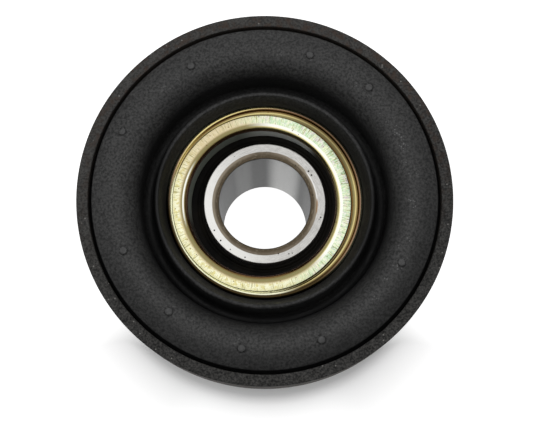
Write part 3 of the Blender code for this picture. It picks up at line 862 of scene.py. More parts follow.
@dataclass(frozen=True)
class GroundSteelFinish(Finish):
    """Ground bearing steel: fine rings, dark pits, a brown unground band and a honed bore, with painted reflections
    in the bore, painted light on the face and the band, and a painted highlight on its edge.
    """

    name: str = "ground_race_steel"
    base: Colour = (0.50, 0.49, 0.47)
    bright: Colour = (0.66, 0.65, 0.625)
    dull: Colour = (0.38, 0.37, 0.35)
    polished: Colour = (0.88, 0.87, 0.84)
    stain: Colour = (0.11, 0.086, 0.057)
    stain_lit: Colour = (0.25, 0.207, 0.158)
    stain_worn_and_lit: Colour = (0.42, 0.365, 0.28)
    honed: Colour = (0.08, 0.082, 0.082)
    honed_reflection: Colour = (0.80, 0.80, 0.79)
    pit: Colour = (0.03, 0.026, 0.022)
    rust: Colour = (0.36, 0.21, 0.10)
    stain_inner: float = 15.05
    stain_outer: float = 17.25
    stain_lit_sides: Shift = (16.1, 16.8)
    face_height: float = 49.3
    bore_reflections: tuple[BoreReflection, ...] = (
        BoreReflection(62.0, 0.95, 0.88),
        BoreReflection(120.0, 0.2, 0.96),
        BoreReflection(8.0, 0.12, 0.92),
        BoreReflection(186.0, 0.1, 0.96),
    )
    pits: tuple[Pit, ...] = (
        Pit(14.38, 10.68, 0.3),
        Pit(15.36, 9.41, 0.28),
        Pit(-14.36, -12.35, 0.26),
        Pit(-16.44, -8.98, 0.24),
        Pit(-6.40, -17.87, 0.22),
        Pit(-11.2, -15.3, 0.18),
        Pit(18.3, -4.7, 0.24),
    )

    def bore_colour(self, sheet: NodeSheet) -> Socket:
        """The honed bore's colour, with brighter stripes of painted reflection along it.

        Args:
            sheet: The material's sheet.

        Returns:
            The colour's socket.
        """
        # the faint bands here and the stripes below are painted reflections of the surroundings
        bands = SpokeMarks().place(sheet, Spokes=2.2, Breaks_per_mm=0.0)["Height"]
        share = sheet.spread(bands, 0.35, 0.7, 0.0, 0.04)
        for reflection in self.bore_reflections:
            side = (cos(radians(reflection.turn)), sin(radians(reflection.turn)))
            share = sheet.larger(share, sheet.times(facing(sheet, side, reflection.edge, 1.0), reflection.strength))
        return sheet.blend(share, self.honed, self.honed_reflection)

    def face_colour(self, sheet: NodeSheet, rings: Socket, patch: Socket) -> Socket:
        """The ground face's colour, with painted light brightening it at the left.

        Args:
            sheet: The material's sheet.
            rings: Height of the grinding marks.
            patch: The slow, patchy share.

        Returns:
            The colour's socket.
        """
        lit = sheet.blend(sheet.spread(rings, 0.38, 0.68), self.base, self.bright)
        dulled = sheet.blend(sheet.spread(patch, 0.5, 0.72, 0.0, 0.6), lit, self.dull)
        # painted light: the face brightened towards the left
        return sheet.blend(sheet.times(facing(sheet, (-0.94, -0.34), -0.1, 1.0), 0.8), dulled, self.polished)

    def stain_colour(self, sheet: NodeSheet, radius: Socket, rings: Socket) -> Socket:
        """The unground band's colour: brown, lightened outwards and at both sides by painted light.

        Args:
            sheet: The material's sheet.
            radius: Distance from the axis.
            rings: Height of the grinding marks.

        Returns:
            The colour's socket.
        """
        broad = TurningMarks().place(sheet, Rings_per_mm=0.3, Breaks=5.0)["Height"]
        # painted light: the band lighter outwards
        outwards = sheet.spread(radius, self.stain_inner + 0.7, self.stain_outer - 0.3)
        lighter = sheet.times(outwards, sheet.spread(broad, 0.3, 0.7, 0.35, 1.0))
        turned = sheet.times(sheet.spread(rings, 0.56, 0.66), 0.6)
        film = sheet.blend(turned, sheet.blend(lighter, self.stain, self.stain_lit), self.stain_worn_and_lit)
        # painted light at the band's right and left sides
        right_side = sheet.times(facing(sheet, (0.94, 0.34), 0.5, 1.0), 0.8)
        left_side = sheet.times(facing(sheet, (-0.98, 0.17), 0.3, 0.8), 0.6)
        brightened = sheet.times(sheet.spread(radius, *self.stain_lit_sides), sheet.larger(right_side, left_side))
        return sheet.blend(brightened, film, self.stain_worn_and_lit)

    def dented(self, sheet: NodeSheet) -> Socket:
        """The mask of the scattered specks and of each known pit.

        Args:
            sheet: The material's sheet.

        Returns:
            The mask's socket.
        """
        dents = scattered(sheet, 900.0, 0.2, 0.07)
        place = sheet.add("ShaderNodeTexCoord").outputs["Object"]
        for pit in self.pits:
            centre = (pit.x * MM, pit.y * MM, self.face_height * MM)
            away = sheet.add("ShaderNodeVectorMath", {0: place, 1: centre}, operation="DISTANCE").outputs["Value"]
            dents = sheet.larger(dents, sheet.spread(away, 0.6 * pit.size * MM, 1.2 * pit.size * MM, 1.0, 0.0))
        return dents

    def looks(self, sheet: NodeSheet) -> dict[str, Source]:
        """Ground rings, the stained band with its painted highlight and rusty edge, the bore and the pits.

        Args:
            sheet: The material's sheet.

        Returns:
            Sources for the Principled shader's inputs, by name.
        """
        radius = radius_from(sheet)
        rings = TurningMarks().place(sheet, Rings_per_mm=5.0, Breaks=9.0)["Height"]
        grain = FineGrain().place(sheet, Grains=2200.0, Patches=380.0)
        face = self.face_colour(sheet, rings, grain["Patch"])
        bare = sheet.blend(sheet.calc(Calc.BELOW, radius, self.stain_inner), face, self.bore_colour(sheet))
        inside = sheet.spread(radius, self.stain_inner, self.stain_inner + 0.1)
        outside = sheet.spread(radius, self.stain_outer - 0.12, self.stain_outer + 0.12, 1.0, 0.0)
        band = sheet.times(inside, outside)
        stained = sheet.blend(band, bare, self.stain_colour(sheet, radius, rings))
        on_edge = sheet.spread(sheet.off(radius, self.stain_outer - 0.1), 0.12, 0.3, 1.0, 0.0)
        # painted highlight: a thin bright line on the band's outer edge at the right
        edged = sheet.blend(sheet.times(on_edge, facing(sheet, (0.94, 0.34), 0.93, 0.98)), stained, self.polished)
        rust_side = sheet.times(facing(sheet, (0.998, -0.06), 0.985, 0.998), 0.9)
        rusty = sheet.blend(sheet.times(on_edge, rust_side), edged, self.rust)
        dents = self.dented(sheet)
        roughness = sheet.calc(Calc.ADD, sheet.between(band, 0.3, 0.5), sheet.spread(rings, 0.3, 0.7, -0.04, 0.06))
        undented = (sheet.calc(Calc.SUBTRACT, 1.0, dents), 0.12 * MM, 0.8)
        return {
            "Base Color": sheet.blend(dents, rusty, self.pit),
            "Metallic": 1.0,
            "Roughness": roughness,
            "Normal": sheet.bumps((rings, 0.04 * MM, 0.35), (grain["Height"], 0.03 * MM, 0.3), undented),
        }


@dataclass(frozen=True)
class InnerSteelFinish(Finish):
    """Steel of the pieces sealed inside, greased and lightly marked."""

    name: str = "sealed_in_steel"
    base: Colour = (0.62, 0.62, 0.61)
    mark: Colour = (0.42, 0.40, 0.36)
    polish: float = 0.12

    def looks(self, sheet: NodeSheet) -> dict[str, Source]:
        """Faint marks and a varied polish.

        Args:
            sheet: The material's sheet.

        Returns:
            Sources for the Principled shader's inputs, by name.
        """
        grain = FineGrain().place(sheet, Grains=1800.0, Patches=300.0)
        tint = PatchyTint().place(sheet, Base=self.base, Tint=self.mark, Scale=500.0, Bare=0.5, Full=0.75)
        return {
            "Base Color": tint["Color"],
            "Metallic": 1.0,
            "Roughness": sheet.spread(grain["Patch"], 0.3, 0.7, self.polish, self.polish + 0.15),
            "Normal": sheet.bumps((grain["Height"], 0.02 * MM, 0.2)),
        }


# Turned meshes


@dataclass(frozen=True)
class Corner:
    """A corner of a turned section: its place, the radius it is rounded by and its centre's shift."""

    radius: float
    height: float
    rounding: float = 0.0
    shift: Shift = (0.0, 0.0)

    def row(self) -> np.ndarray:
        """The corner as radius, height, shift x and shift y."""
        return np.array([self.radius, self.height, *self.shift])

    def mirrored(self, level: float) -> "Corner":
        """The same corner on the other side of a level, on the axis."""
        return Corner(self.radius, 2 * level - self.height, self.rounding)


def arc_corners(centre: Shift, radius: float, start: float, end: float, steps: int) -> list[Corner]:
    """Corners along an arc round a centre, from one angle in degrees to another, both ends included."""
    turns = np.radians(np.linspace(start, end, steps + 1))
    return [Corner(centre[0] + radius * cos(t), centre[1] + radius * sin(t)) for t in turns]


@dataclass(frozen=True)
class Section:
    """A closed outline, clockwise with the radius to the right and the height up."""

    corners: Sequence[Corner]
    rounding_steps: int = 5
    longest: float = 2.0 * MM

    def _rounded(self, before: np.ndarray, here: Corner, after: np.ndarray) -> list[np.ndarray]:
        """Replaces one corner by its arc.

        Args:
            before: The row of the corner before.
            here: The corner itself.
            after: The row of the corner after.

        Returns:
            Rows along the arc, or the corner's own row if it stays sharp.
        """
        row = here.row()
        back = before - row
        ahead = after - row
        back_length = float(np.hypot(*back[:2]))
        ahead_length = float(np.hypot(*ahead[:2]))
        if not here.rounding or min(back_length, ahead_length) < 1e-7:
            return [row]
        along = float(np.clip(np.dot(back[:2], ahead[:2]) / (back_length * ahead_length), -1, 1))
        half_bend = (pi - np.arccos(along)) / 2
        reach = min(here.rounding * tan(half_bend), 0.48 * back_length, 0.48 * ahead_length)
        first = row + back * reach / back_length
        last = row + ahead * reach / ahead_length
        weight = cos(half_bend)
        rows = []
        for share in np.linspace(0, 1, self.rounding_steps + 1):
            parts = np.array([(1 - share) ** 2, 2 * share * (1 - share) * weight, share**2])
            rows.append((parts[0] * first + parts[1] * row + parts[2] * last) / parts.sum())
        return rows

    def rows(self) -> np.ndarray:
        """The whole outline with rounded corners and no edge longer than it may be.

        Returns:
            An array of radius, height, shift x and shift y.
        """
        plain = [corner.row() for corner in self.corners]
        rounded: list[np.ndarray] = []
        for index, corner in enumerate(self.corners):
            rounded += self._rounded(plain[index - 1], corner, plain[(index + 1) % len(plain)])
        split: list[np.ndarray] = []
        for index, row in enumerate(rounded):
            following = rounded[(index + 1) % len(rounded)]
            length = float(np.hypot(*(following - row)[:2]))
            if length < 1e-8:
                continue
            parts = max(1, int(np.ceil(length / self.longest)))
            split += [row + (following - row) * part / parts for part in range(parts)]
        return np.array(split)


def drifting_noise(places: np.ndarray, scale: float, seed: float) -> np.ndarray:
    """Smooth noise from about -1 to 1 at each place, with features of one scale in metres."""
    return np.array([noise.noise(Vector(place)) for place in places / scale + seed])


def place_on_body(piece: bpy.types.Object, body: Body, material: bpy.types.Material, node: str) -> None:
    """Hands a finished piece to the model in place of its solid.

    Args:
        piece: The dressed piece.
        body: The body that it rides on.
        material: Its finish.
        node: The solid that it stands for.
    """
    piece.data.materials.append(material)
    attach(piece, body.value)
    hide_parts(node)
    LOG.info("%s: %d faces, stands for %s", piece.name, len(piece.data.polygons), node)


@dataclass
class TurnedPart:
    """A piece turned about the bearing's axis, which rides on a body in place of a solid."""

    name: str = ""
    node: str = ""
    slot: Slot = Slot.ZINC
    body: Body = Body.HOUSING
    sides: int = 320
    sharp_from: float = 40.0

    def section(self) -> Section:
        """The outline that is turned."""
        raise NotImplementedError

    def turns(self) -> np.ndarray:
        """The angles of the sides in radians, in rising order."""
        return np.arange(self.sides) * 2 * pi / self.sides

    def relief(self, places: np.ndarray) -> np.ndarray:
        """The move of each point off the plain turned shape."""
        return np.zeros_like(places)

    def mesh(self) -> bpy.types.Mesh:
        """Turns the section into one closed, smooth mesh.

        Returns:
            The mesh.
        """
        rows, turns = self.section().rows(), self.turns()
        rings, sides = len(rows), len(turns)
        radius, height, shift_x, shift_y = (rows[:, column][:, None] for column in range(4))
        places = np.empty((rings, sides, 3))
        places[:, :, 0] = shift_x + radius * np.cos(turns)[None, :]
        places[:, :, 1] = shift_y + radius * np.sin(turns)[None, :]
        places[:, :, 2] = height
        places = places.reshape(-1, 3)
        places = places + self.relief(places)
        ring = np.arange(rings)[:, None] * sides
        following = (np.arange(rings)[:, None] + 1) % rings * sides
        side = np.arange(sides)[None, :]
        after = (side + 1) % sides
        faces = np.stack([ring + side, following + side, following + after, ring + after], axis=2)
        mesh = bpy.data.meshes.new(self.name)
        mesh.from_pydata(places.tolist(), [], faces.reshape(-1, 4).tolist())
        mesh.shade_smooth()
        mesh.set_sharp_from_angle(angle=radians(self.sharp_from))
        return mesh

    def build(self, finish: Finish) -> None:
        """Makes the piece, dresses it and hands it to the model in place of its solid.

        Args:
            finish: Its finish.
        """
        piece = bpy.data.objects.new(self.name, self.mesh())
        bpy.context.scene.collection.objects.link(piece)
        piece.modifiers.new("even_shading", "WEIGHTED_NORMAL").keep_sharp = True
        place_on_body(piece, self.body, finish.material(), self.node)


# The bearing's pieces


@dataclass
class OuterBand(TurnedPart):
    """The plain steel band round the cushion, with its rough sheared edges."""

    name: str = "band"
    node: str = "outer_ring"
    slot: Slot = Slot.BAND
    sides: int = 480
    radius: float = 60.03 * MM
    bore: float = 56.29 * MM
    front: float = 61.505 * MM
    rear: float = 41.505 * MM
    edge_break: float = 0.35 * MM
    roughness: float = 0.05 * MM

    def section(self) -> Section:
        """The band's section.

        Returns:
            Its outline.
        """
        front = ((self.bore, self.front), (self.radius, self.front))
        rear = ((self.radius, self.rear), (self.bore, self.rear))
        return Section([Corner(*end, self.edge_break) for end in (*front, *rear)], 3, 0.65 * MM)

    def relief(self, places: np.ndarray) -> np.ndarray:
        """Roughens the two end faces, always into the steel.

        Args:
            places: All the band's points.

        Returns:
            The move of each point.
        """
        moves = np.zeros_like(places)
        for level, inward in ((self.front, -1.0), (self.rear, 1.0)):
            near = np.abs(places[:, 2] - level) < self.edge_break * 1.01
            fine = drifting_noise(places[near], 0.5 * MM, 9.1)
            rough = drifting_noise(places[near], 1.4 * MM, 3.7 + level) + 0.6 * fine
            moves[near, 2] += inward * self.roughness * (0.8 + 0.5 * rough).clip(0.0, 1.6)
        return moves


@dataclass
class RubberCushion(TurnedPart):
    """The one-piece rubber moulding: collar, U-shaped valley, rolled crown and nine small pips.

    It reaches a hair into the band and the shell that it is bonded to. Each pip is given by its
    turn in degrees and how far it lies outside the crown's centre.
    """

    name: str = "cushion"
    node: str = "rubber_cushion"
    slot: Slot = Slot.RUBBER
    sides: int = 256
    bore: float = 32.08 * MM
    collar_radius: float = 35.5 * MM
    collar_crest: float = 57.355 * MM
    collar_round: float = 0.8 * MM
    slope_foot: float = 52.455 * MM
    valley_radius: float = 1.9 * MM
    valley_centre: Shift = (38.2 * MM, 47.255 * MM)
    crown_radius: float = 7.8 * MM
    crown_centre: Shift = (47.9 * MM, 56.305 * MM)
    edge: float = 55.14 * MM
    edge_fall: float = 2.4 * MM
    edge_round: float = 0.5 * MM
    gap_width: float = 1.17 * MM
    gap_depth: float = 3.0 * MM
    skin: float = 4.8 * MM
    rear: float = 42.505 * MM
    sleeve: float = 36.4 * MM
    sleeve_rear: float = 30.1 * MM
    web_fillet: float = 1.2 * MM
    unevenness: float = 0.06 * MM
    pip_radius: float = 1.25 * MM
    pip_height: float = 0.56 * MM
    pip_moat: float = 0.2 * MM
    pip_zone: float = 4.3 * MM
    pip_steps: int = 18
    pips: tuple[Shift, ...] = (
        (-26.7, 0.1 * MM),
        (-68.9, 1.15 * MM),
        (-98.4, 1.0 * MM),
        (-128.9, -0.4 * MM),
        (-158.1, -0.1 * MM),
        (-204.4, 2.05 * MM),
        (-240.6, 0.5 * MM),
        (-287.6, 0.2 * MM),
        (-313.6, 0.5 * MM),
    )

    def section(self) -> Section:
        """The moulding's section.

        Returns:
            Its outline.
        """
        crown_z = self.crown_centre[1] + self.crown_radius
        edge_z = crown_z - self.edge_fall
        gap_z = edge_z - self.gap_depth
        web = self.valley_radius + self.skin
        roof = self.crown_radius - self.skin
        crest = (self.collar_radius - self.collar_round, self.collar_crest - self.collar_round)
        edge_start = self.edge - self.edge_round
        reach = self.edge - self.crown_centre[0]
        fine = np.linspace(0, self.pip_zone / reach, 27)[1:]
        coarse = np.linspace(fine[-1], (edge_start - self.crown_centre[0]) / reach, 6)[1:]
        shares = [*fine, *coarse]
        middle = self.crown_centre[0]
        slope = [Corner(middle + reach * share, crown_z - self.edge_fall * share**2) for share in shares]
        corners = [
            Corner(self.bore, self.slope_foot, 0.4 * MM),
            *arc_corners(crest, self.collar_round, 130, 0, 12),
            *arc_corners(self.valley_centre, self.valley_radius, 180, 360, 24),
            *arc_corners(self.crown_centre, self.crown_radius, 180, 110, 26),
            *arc_corners(self.crown_centre, self.crown_radius, 108.6, 90, 20),
            *slope,
            Corner(self.edge, edge_z, 0.3 * MM),
            Corner(self.edge, gap_z, 0.3 * MM),
            Corner(self.edge + self.gap_width, gap_z - self.gap_width, 0.3 * MM),
            Corner(self.edge + self.gap_width, self.rear, 0.5 * MM),
            Corner(self.crown_centre[0] + roof, self.rear, 0.8 * MM),
            *arc_corners(self.crown_centre, roof, 0, 180, 12),
            *arc_corners(self.valley_centre, web, 0, -80, 8),
            Corner(self.sleeve, self.valley_centre[1] - web - self.web_fillet, 1.2 * MM),
            Corner(self.sleeve, self.sleeve_rear, 0.8 * MM),
            Corner(self.bore, self.sleeve_rear, 0.4 * MM),
        ]
        return Section(corners, 5, 1.6 * MM)

    def turns(self) -> np.ndarray:
        """Angles of the sides, closer together at each pip.

        Returns:
            The angles in radians, in rising order.
        """
        reach = 1.5 * self.pip_radius / self.crown_centre[0]
        centres = np.radians([turn for turn, _ in self.pips]) % (2 * pi)
        even = super().turns()
        away = np.abs((even[:, None] - centres[None, :] + pi) % (2 * pi) - pi).min(axis=1)
        close = (centres[:, None] + np.linspace(-reach, reach, self.pip_steps + 1)[None, :]).ravel() % (2 * pi)
        return np.sort(np.concatenate([even[away > reach * 1.15], close]))

    def relief(self, places: np.ndarray) -> np.ndarray:
        """Raises the pips, each in a shallow moat, and gives the front its slight unevenness.

        Args:
            places: All the moulding's points.

        Returns:
            The move of each point.
        """
        moves = np.zeros_like(places)
        radius = np.hypot(places[:, 0], places[:, 1])
        front = (places[:, 2] > self.valley_centre[1]) & (radius > self.collar_radius) & (radius < self.edge - MM)
        roll = np.minimum(1.0, (self.edge - MM - radius[front]) / (3 * MM))
        moves[front, 2] -= self.unevenness * roll * (0.5 + 0.5 * drifting_noise(places[front], 14 * MM, 5.3))
        crown = places[:, 2] > self.crown_centre[1] + 0.9 * self.crown_radius
        for turn, outside in self.pips:
            centre = np.array([cos(radians(turn)), sin(radians(turn))]) * (self.crown_centre[0] + outside)
            away = np.hypot(*(places[:, :2] - centre).T)
            side = ((self.pip_radius * 1.06 - away) / (0.22 * self.pip_radius)).clip(0, 1)
            top = 1.0 - 0.25 * (away / self.pip_radius).clip(0, 1) ** 2
            moat = np.exp(-(((away - 1.22 * self.pip_radius) / (0.17 * self.pip_radius)) ** 2))
            rise = self.pip_height * side * side * (3 - 2 * side) * top - self.pip_moat * moat
            moves[crown, 2] += rise[crown]
        return moves


@dataclass
class BearingShell(TurnedPart):
    """The drawn sleeve round the bearing, with its rolled mouth and its rear flange."""

    name: str = "shell"
    node: str = "bearing_shell"
    bore: float = 31.3 * MM
    sheet: float = 0.8 * MM
    mouth: float = 52.855 * MM
    roll_floor: float = 52.055 * MM
    roll_in: float = 0.65 * MM
    roll_crest: float = 0.32 * MM
    roll_fall: float = 1.3 * MM
    rear: float = 27.6 * MM
    rear_lip: float = 3.6 * MM
    bend: float = 1.2 * MM

    def section(self) -> Section:
        """The sleeve's section.

        Returns:
            Its outline.
        """
        outer = self.bore + self.sheet
        crest = self.bore - self.roll_in + self.roll_crest
        turns = np.linspace(0, pi / 2, 17)
        roll = [(crest + (outer - crest) * sin(t), self.mouth - self.roll_fall * (1 - cos(t))) for t in turns]
        corners = (
            Corner(self.bore - self.roll_in, self.roll_floor, 0.1 * MM),
            Corner(self.bore - self.roll_in, self.mouth, 0.15 * MM),
            *(Corner(radius, height) for radius, height in roll),
            Corner(outer, self.rear, self.bend),
            Corner(self.bore - self.rear_lip, self.rear, 0.15 * MM),
            Corner(self.bore - self.rear_lip, self.rear + self.sheet, 0.15 * MM),
            Corner(self.bore, self.rear + self.sheet, 0.3 * MM),
            Corner(self.bore, self.roll_floor - 0.3 * self.sheet, 0.1 * MM),
        )
        return Section(corners, 8, 3.0 * MM)


@dataclass
class FrontCover(TurnedPart):
    """The pressed cover in the shell's mouth, with its dome drawn off centre."""

    name: str = "cover"
    node: str = "front_cover"
    radius: float = 31.0 * MM
    lip: float = 24.0 * MM
    sheet: float = 0.9 * MM
    floor: float = 45.005 * MM
    flange: float = 51.455 * MM
    flange_width: float = 1.9 * MM
    shoulder_rise: float = 0.3 * MM
    shoulder_width: float = 1.25 * MM
    crest: float = 53.955 * MM
    crest_inset: float = 1.7 * MM
    lip_fall: float = 1.3 * MM
    dome_fall: float = 0.65 * MM
    lip_standoff: float = 0.5 * MM
    lip_taper: float = 0.3 * MM
    dome_shift: Shift = (-1.0 * MM, -0.45 * MM)
    drift: Shift = (-0.45 * MM, -0.2025 * MM)
    lip_shift: Shift = (-0.5 * MM, -0.15 * MM)

    def section(self) -> Section:
        """The pressing's section.

        Returns:
            Its outline.
        """
        dome = self.dome_shift
        foot = self.radius - self.flange_width
        edge = self.crest - self.dome_fall
        shoulder = self.flange + self.shoulder_rise
        lip_floor = self.floor + self.lip_standoff
        crest = self.lip + self.crest_inset
        sheet = self.sheet
        turns = np.linspace(pi / 2, 0, 17)
        bend = [(crest - self.crest_inset * sin(t), self.crest - self.lip_fall * (1 - cos(t))) for t in turns]
        corners = (
            Corner(self.lip - self.lip_taper, lip_floor, 0.2 * MM, self.lip_shift),
            *(Corner(radius, height, 0.0, dome) for radius, height in bend),
            Corner(crest + 0.45 * (foot - crest), self.crest - 0.25 * self.dome_fall, 2.0 * MM, dome),
            Corner(foot, edge, 0.3 * MM, dome),
            Corner(foot, self.flange, 0.25 * MM, dome),
            Corner(self.radius - self.shoulder_width, shoulder, 0.5 * MM, self.drift),
            Corner(self.radius, shoulder, 0.5 * MM),
            Corner(self.radius, self.floor, 0.2 * MM),
            Corner(self.radius - sheet, self.floor, 0.2 * MM),
            Corner(self.radius - sheet, self.flange - 1.1 * sheet, 0.2 * MM),
            Corner(foot - sheet, self.flange - 1.1 * sheet, 0.3 * MM, dome),
            Corner(foot - sheet, edge - sheet, 0.4 * MM, dome),
            Corner(crest, self.crest - sheet, 1.0 * MM, dome),
            Corner(self.lip + sheet, self.crest - 1.8 * sheet, 0.5 * MM, dome),
            Corner(self.lip - self.lip_taper + sheet, lip_floor, 0.2 * MM, self.lip_shift),
        )
        return Section(corners, 7, 0.8 * MM)


@dataclass
class LipSeal(TurnedPart):
    """A moulded seal: bead in the outer race, ribbed face and a lip close to the inner race."""

    name: str = "seal_front"
    node: str = "front_seal"
    slot: Slot = Slot.SEAL
    sides: int = 256
    side: SealSide = SealSide.FRONT
    middle: float = 36.7025 * MM
    bead: float = 27.0 * MM
    neck: float = 26.6 * MM
    lip: float = 20.02 * MM
    floor: float = 42.905 * MM
    body_height: float = 0.9 * MM
    bead_top: float = 43.705 * MM
    rib: float = 0.35 * MM
    lip_width: float = 0.8 * MM

    def section(self) -> Section:
        """The seal's section, mirrored for the rear side.

        Returns:
            Its outline.
        """
        face = self.floor + self.body_height + self.rib
        rib = self.lip + 2 * self.lip_width
        corners = [
            Corner(self.lip, self.floor, 0.1 * MM),
            Corner(self.lip, face, 0.2 * MM),
            Corner(self.lip + self.lip_width, face - self.rib, 0.5 * MM),
            Corner(rib, face + self.rib, 0.35 * MM),
            Corner(rib + self.lip_width, face, 0.6 * MM),
            Corner(self.neck, face, 0.15 * MM),
            Corner(self.neck, self.bead_top, 0.05 * MM),
            Corner(self.bead, self.bead_top, 0.1 * MM),
            Corner(self.bead, self.floor, 0.1 * MM),
        ]
        if self.side is SealSide.REAR:
            corners = [corner.mirrored(self.middle) for corner in reversed(corners)]
        return Section(corners, 5, 0.8 * MM)


@dataclass
class InnerRace(TurnedPart):
    """The long ground inner race with its bore, end bands and raceway."""

    name: str = "race"
    node: str = "inner_race"
    slot: Slot = Slot.GROUND
    body: Body = Body.RACE
    bore: float = 15.0 * MM
    radius: float = 20.0 * MM
    front: float = 49.305 * MM
    edge_break: float = 0.4 * MM
    bore_break: float = 0.2 * MM
    band_width: float = 2.0 * MM
    band_depth: float = 0.35 * MM
    ball_plane: float = 36.7025 * MM
    groove: float = 4.953 * MM
    groove_bottom: float = 18.0875 * MM

    def raceway(self) -> list[Corner]:
        """The ball groove from its front edge to its rear edge.

        Returns:
            The corners in order.
        """
        centre = self.groove_bottom + self.groove
        half = float(np.sqrt(self.groove**2 - (centre - self.radius) ** 2))
        heights = half * np.cos(np.linspace(0, pi, 21))
        return [Corner(centre - float(np.sqrt(self.groove**2 - h * h)), self.ball_plane + h) for h in heights]

    def section(self) -> Section:
        """The race's section.

        Returns:
            Its outline.
        """
        band = self.bore + self.bore_break
        end = [
            Corner(self.bore, self.front - self.band_depth - self.bore_break, 0.05 * MM),
            Corner(band, self.front - self.band_depth, 0.1 * MM),
            Corner(band + self.band_width, self.front, 0.12 * MM),
            Corner(self.radius, self.front, self.edge_break),
        ]
        rear = [corner.mirrored(self.front / 2) for corner in reversed(end)]
        return Section([*end, *self.raceway(), *rear], 4, 2.5 * MM)


@dataclass
class SealedPieces:
    """The solids closed in between the seals, which keep their shape and get a finish."""

    race_finish: Finish
    ball_finish: Finish
    cage_finish: Finish

    def dress(self) -> None:
        """Gives each solid its finish by what its name says it is."""
        kinds = {"outer_race": self.race_finish, "ball_": self.ball_finish}
        kinds |= {"cage_": self.cage_finish, "rivet_": self.cage_finish}
        for name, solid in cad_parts.items():
            for start, finish in kinds.items():
                if name.startswith(start):
                    solid.data.materials.clear()
                    solid.data.materials.append(finish.material())
                    LOG.info("%s keeps its solid", name)


# The studio


def hang(name: str, data: bpy.types.ID, place: Vector, way: Vector) -> bpy.types.Object:
    """Places a lamp or a camera so that it looks one way.

    Args:
        name: Its name.
        data: The lamp or the camera.
        place: Where it stands.
        way: The way that it looks.

    Returns:
        The placed object.
    """
    holder = bpy.data.objects.new(name, data)
    holder.location = place
    holder.rotation_mode = "QUATERNION"
    holder.rotation_quaternion = way.to_track_quat("-Z", "Y")
    bpy.context.scene.collection.objects.link(holder)
    return holder


@dataclass(frozen=True)
class SoftBox:
    """A soft lamp: where it stands, how wide it is and how bright its face looks."""

    name: str
    place: Place
    width: float
    level: float

    def build(self, target: Vector) -> None:
        """Hangs the lamp.

        Args:
            target: The point that it faces.
        """
        lamp = bpy.data.lights.new(self.name, "AREA")
        lamp.shape = "SQUARE"
        lamp.size = self.width
        lamp.energy = self.level * pi * self.width**2
        place = Vector(self.place)
        hang(self.name, lamp, place, target - place)


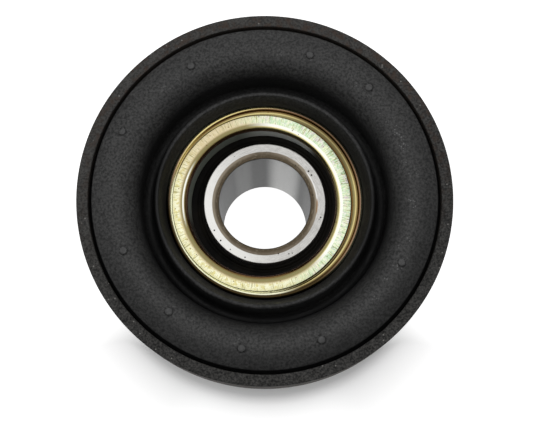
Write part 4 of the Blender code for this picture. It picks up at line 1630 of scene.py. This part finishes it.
@dataclass
class Studio:
    """Pale floor, soft light and the camera at the photograph's angle."""

    aim: Place = (0.56 * MM, -3.25 * MM, 49.305 * MM)
    elevation: float = 80.0
    distance: float = 0.41271
    focal_pixels: float = 1261.73
    sensor: float = 36.0
    room_level: float = 0.05
    bore_glow: float = 0.42
    floor_half: float = 3.0
    floor_grey: float = 0.8
    bore_light: Shift = (18.0, 30.0)
    open_floor: Shift = (150.0, 500.0)
    floor_glow: tuple[Shift, ...] = (
        (56.0, 0.0),
        (60.8, 0.16),
        (62.5, 0.33),
        (64.5, 0.53),
        (66.5, 0.62),
        (69.0, 0.69),
        (74.0, 0.78),
        (79.0, 0.86),
    )
    boxes: tuple[SoftBox, ...] = (
        SoftBox("overhead", (-0.08, 0.15, 1.05), 1.85, 1.0),
        SoftBox("back", (0.0, 1.25, 0.5), 0.7, 0.9),
        SoftBox("left", (-1.3, 0.0, 0.45), 0.7, 0.6),
        SoftBox("right", (1.3, 0.1, 0.45), 0.7, 0.45),
    )

    def build_camera(self) -> None:
        """Places the camera."""
        lens = bpy.data.cameras.new("camera")
        lens.sensor_width = self.sensor
        lens.lens = self.focal_pixels / PHOTO_WIDTH * self.sensor
        lens.clip_start = 0.01
        lens.clip_end = 20.0
        tilt = radians(self.elevation)
        back = Vector((0.0, -cos(tilt), sin(tilt)))
        bpy.context.scene.camera = hang("camera", lens, Vector(self.aim) + back * self.distance, -back)

    def build_room(self) -> None:
        """Lights the room evenly, and shows it white to the camera."""
        world = bpy.data.worlds.new("studio_room")
        sheet = NodeSheet.cleared(world)
        light = sheet.add("ShaderNodeBackground", {"Color": (1.0, 1.0, 1.0), "Strength": self.room_level})
        white = sheet.add("ShaderNodeBackground", {"Color": (1.0, 1.0, 1.0), "Strength": 1.0})
        seen = sheet.add("ShaderNodeLightPath").outputs["Is Camera Ray"]
        both = sheet.add("ShaderNodeMixShader", {0: seen, 1: light.outputs[0], 2: white.outputs[0]})
        sheet.add("ShaderNodeOutputWorld", {"Surface": both.outputs[0]})
        bpy.context.scene.world = world

    def floor_card(self) -> bpy.types.Material:
        """Pale card that shows white round the object's soft shadow. Its glow is held back only in a crescent below
        the object, so the shadow shows there and nowhere else, and it glows inside the bore and in reflections as
        painted light.

        Returns:
            The floor's material.
        """
        card = bpy.data.materials.new("floor_card")
        sheet = NodeSheet.cleared(card)
        radius = radius_from(sheet)
        below = facing(sheet, (0.0, -1.0), 0.4, 0.9)
        middle = sheet.between(facing(sheet, (0.0, -1.0), 0.84, 1.0), 0.86, 1.05)
        stops = [(place, (glow, glow, glow)) for place, glow in self.floor_glow]
        # painted shadow: the glow ramps up outwards only in a crescent below the object, so the card's shadow shows
        # only there
        far = sheet.times(sheet.ramp(radius, stops), middle)
        # painted light: the card glows inside the bore, where it lies in shade
        in_bore = sheet.spread(radius, *self.bore_light, 1.0, 0.0)
        beside = sheet.between(below, self.floor_glow[-1][1], 0.0)
        around = sheet.larger(sheet.larger(in_bore, sheet.spread(radius, *self.open_floor)), beside)
        rays = sheet.add("ShaderNodeLightPath").outputs
        # painted light: the glow also shows in glossy reflections, at the bore glow's level
        seen = sheet.larger(rays["Is Camera Ray"], sheet.times(rays["Is Glossy Ray"], self.bore_glow))
        matt = sheet.add("ShaderNodeBsdfDiffuse", {"Color": (self.floor_grey,) * 3})
        shine = sheet.add("ShaderNodeEmission", {"Color": sheet.larger(far, around), "Strength": seen})
        both = sheet.add("ShaderNodeAddShader", {0: matt.outputs[0], 1: shine.outputs[0]})
        sheet.add("ShaderNodeOutputMaterial", {"Surface": both.outputs[0]})
        return card

    def build_floor(self) -> None:
        """Lays the floor."""
        half = self.floor_half
        mesh = bpy.data.meshes.new("floor")
        corners = [(-half, -half, 0), (half, -half, 0), (half, half, 0), (-half, half, 0)]
        mesh.from_pydata(corners, [], [(0, 1, 2, 3)])
        mesh.materials.append(self.floor_card())
        floor = bpy.data.objects.new("floor", mesh)
        bpy.context.scene.collection.objects.link(floor)

    def build(self) -> None:
        """Builds the whole studio."""
        self.build_camera()
        self.build_room()
        self.build_floor()
        for box in self.boxes:
            box.build(Vector(self.aim))
        bpy.context.scene.view_settings.view_transform = "Standard"
        LOG.info("studio: camera, floor and %d soft lamps", len(self.boxes))


def main() -> None:
    """Builds the pieces from the outside in, then the studio."""
    logging.basicConfig(level=logging.INFO, format="%(message)s")
    zinc = PassivatedZincFinish()
    seal = SealRubberFinish()
    OuterBand().build(BandSteelFinish())
    RubberCushion().build(CushionRubberFinish())
    BearingShell().build(zinc)
    FrontCover().build(zinc)
    LipSeal().build(seal)
    LipSeal("seal_rear", "rear_seal", side=SealSide.REAR).build(seal)
    InnerRace().build(GroundSteelFinish())
    balls = InnerSteelFinish("polished_ball_steel", (0.72, 0.72, 0.73), (0.6, 0.6, 0.6), 0.05)
    sheet_steel = InnerSteelFinish("pressed_cage_steel", (0.5, 0.5, 0.49), (0.34, 0.33, 0.3), 0.28)
    SealedPieces(InnerSteelFinish(), balls, sheet_steel).dress()
    Studio().build()


if __name__ == "__main__":
    main()
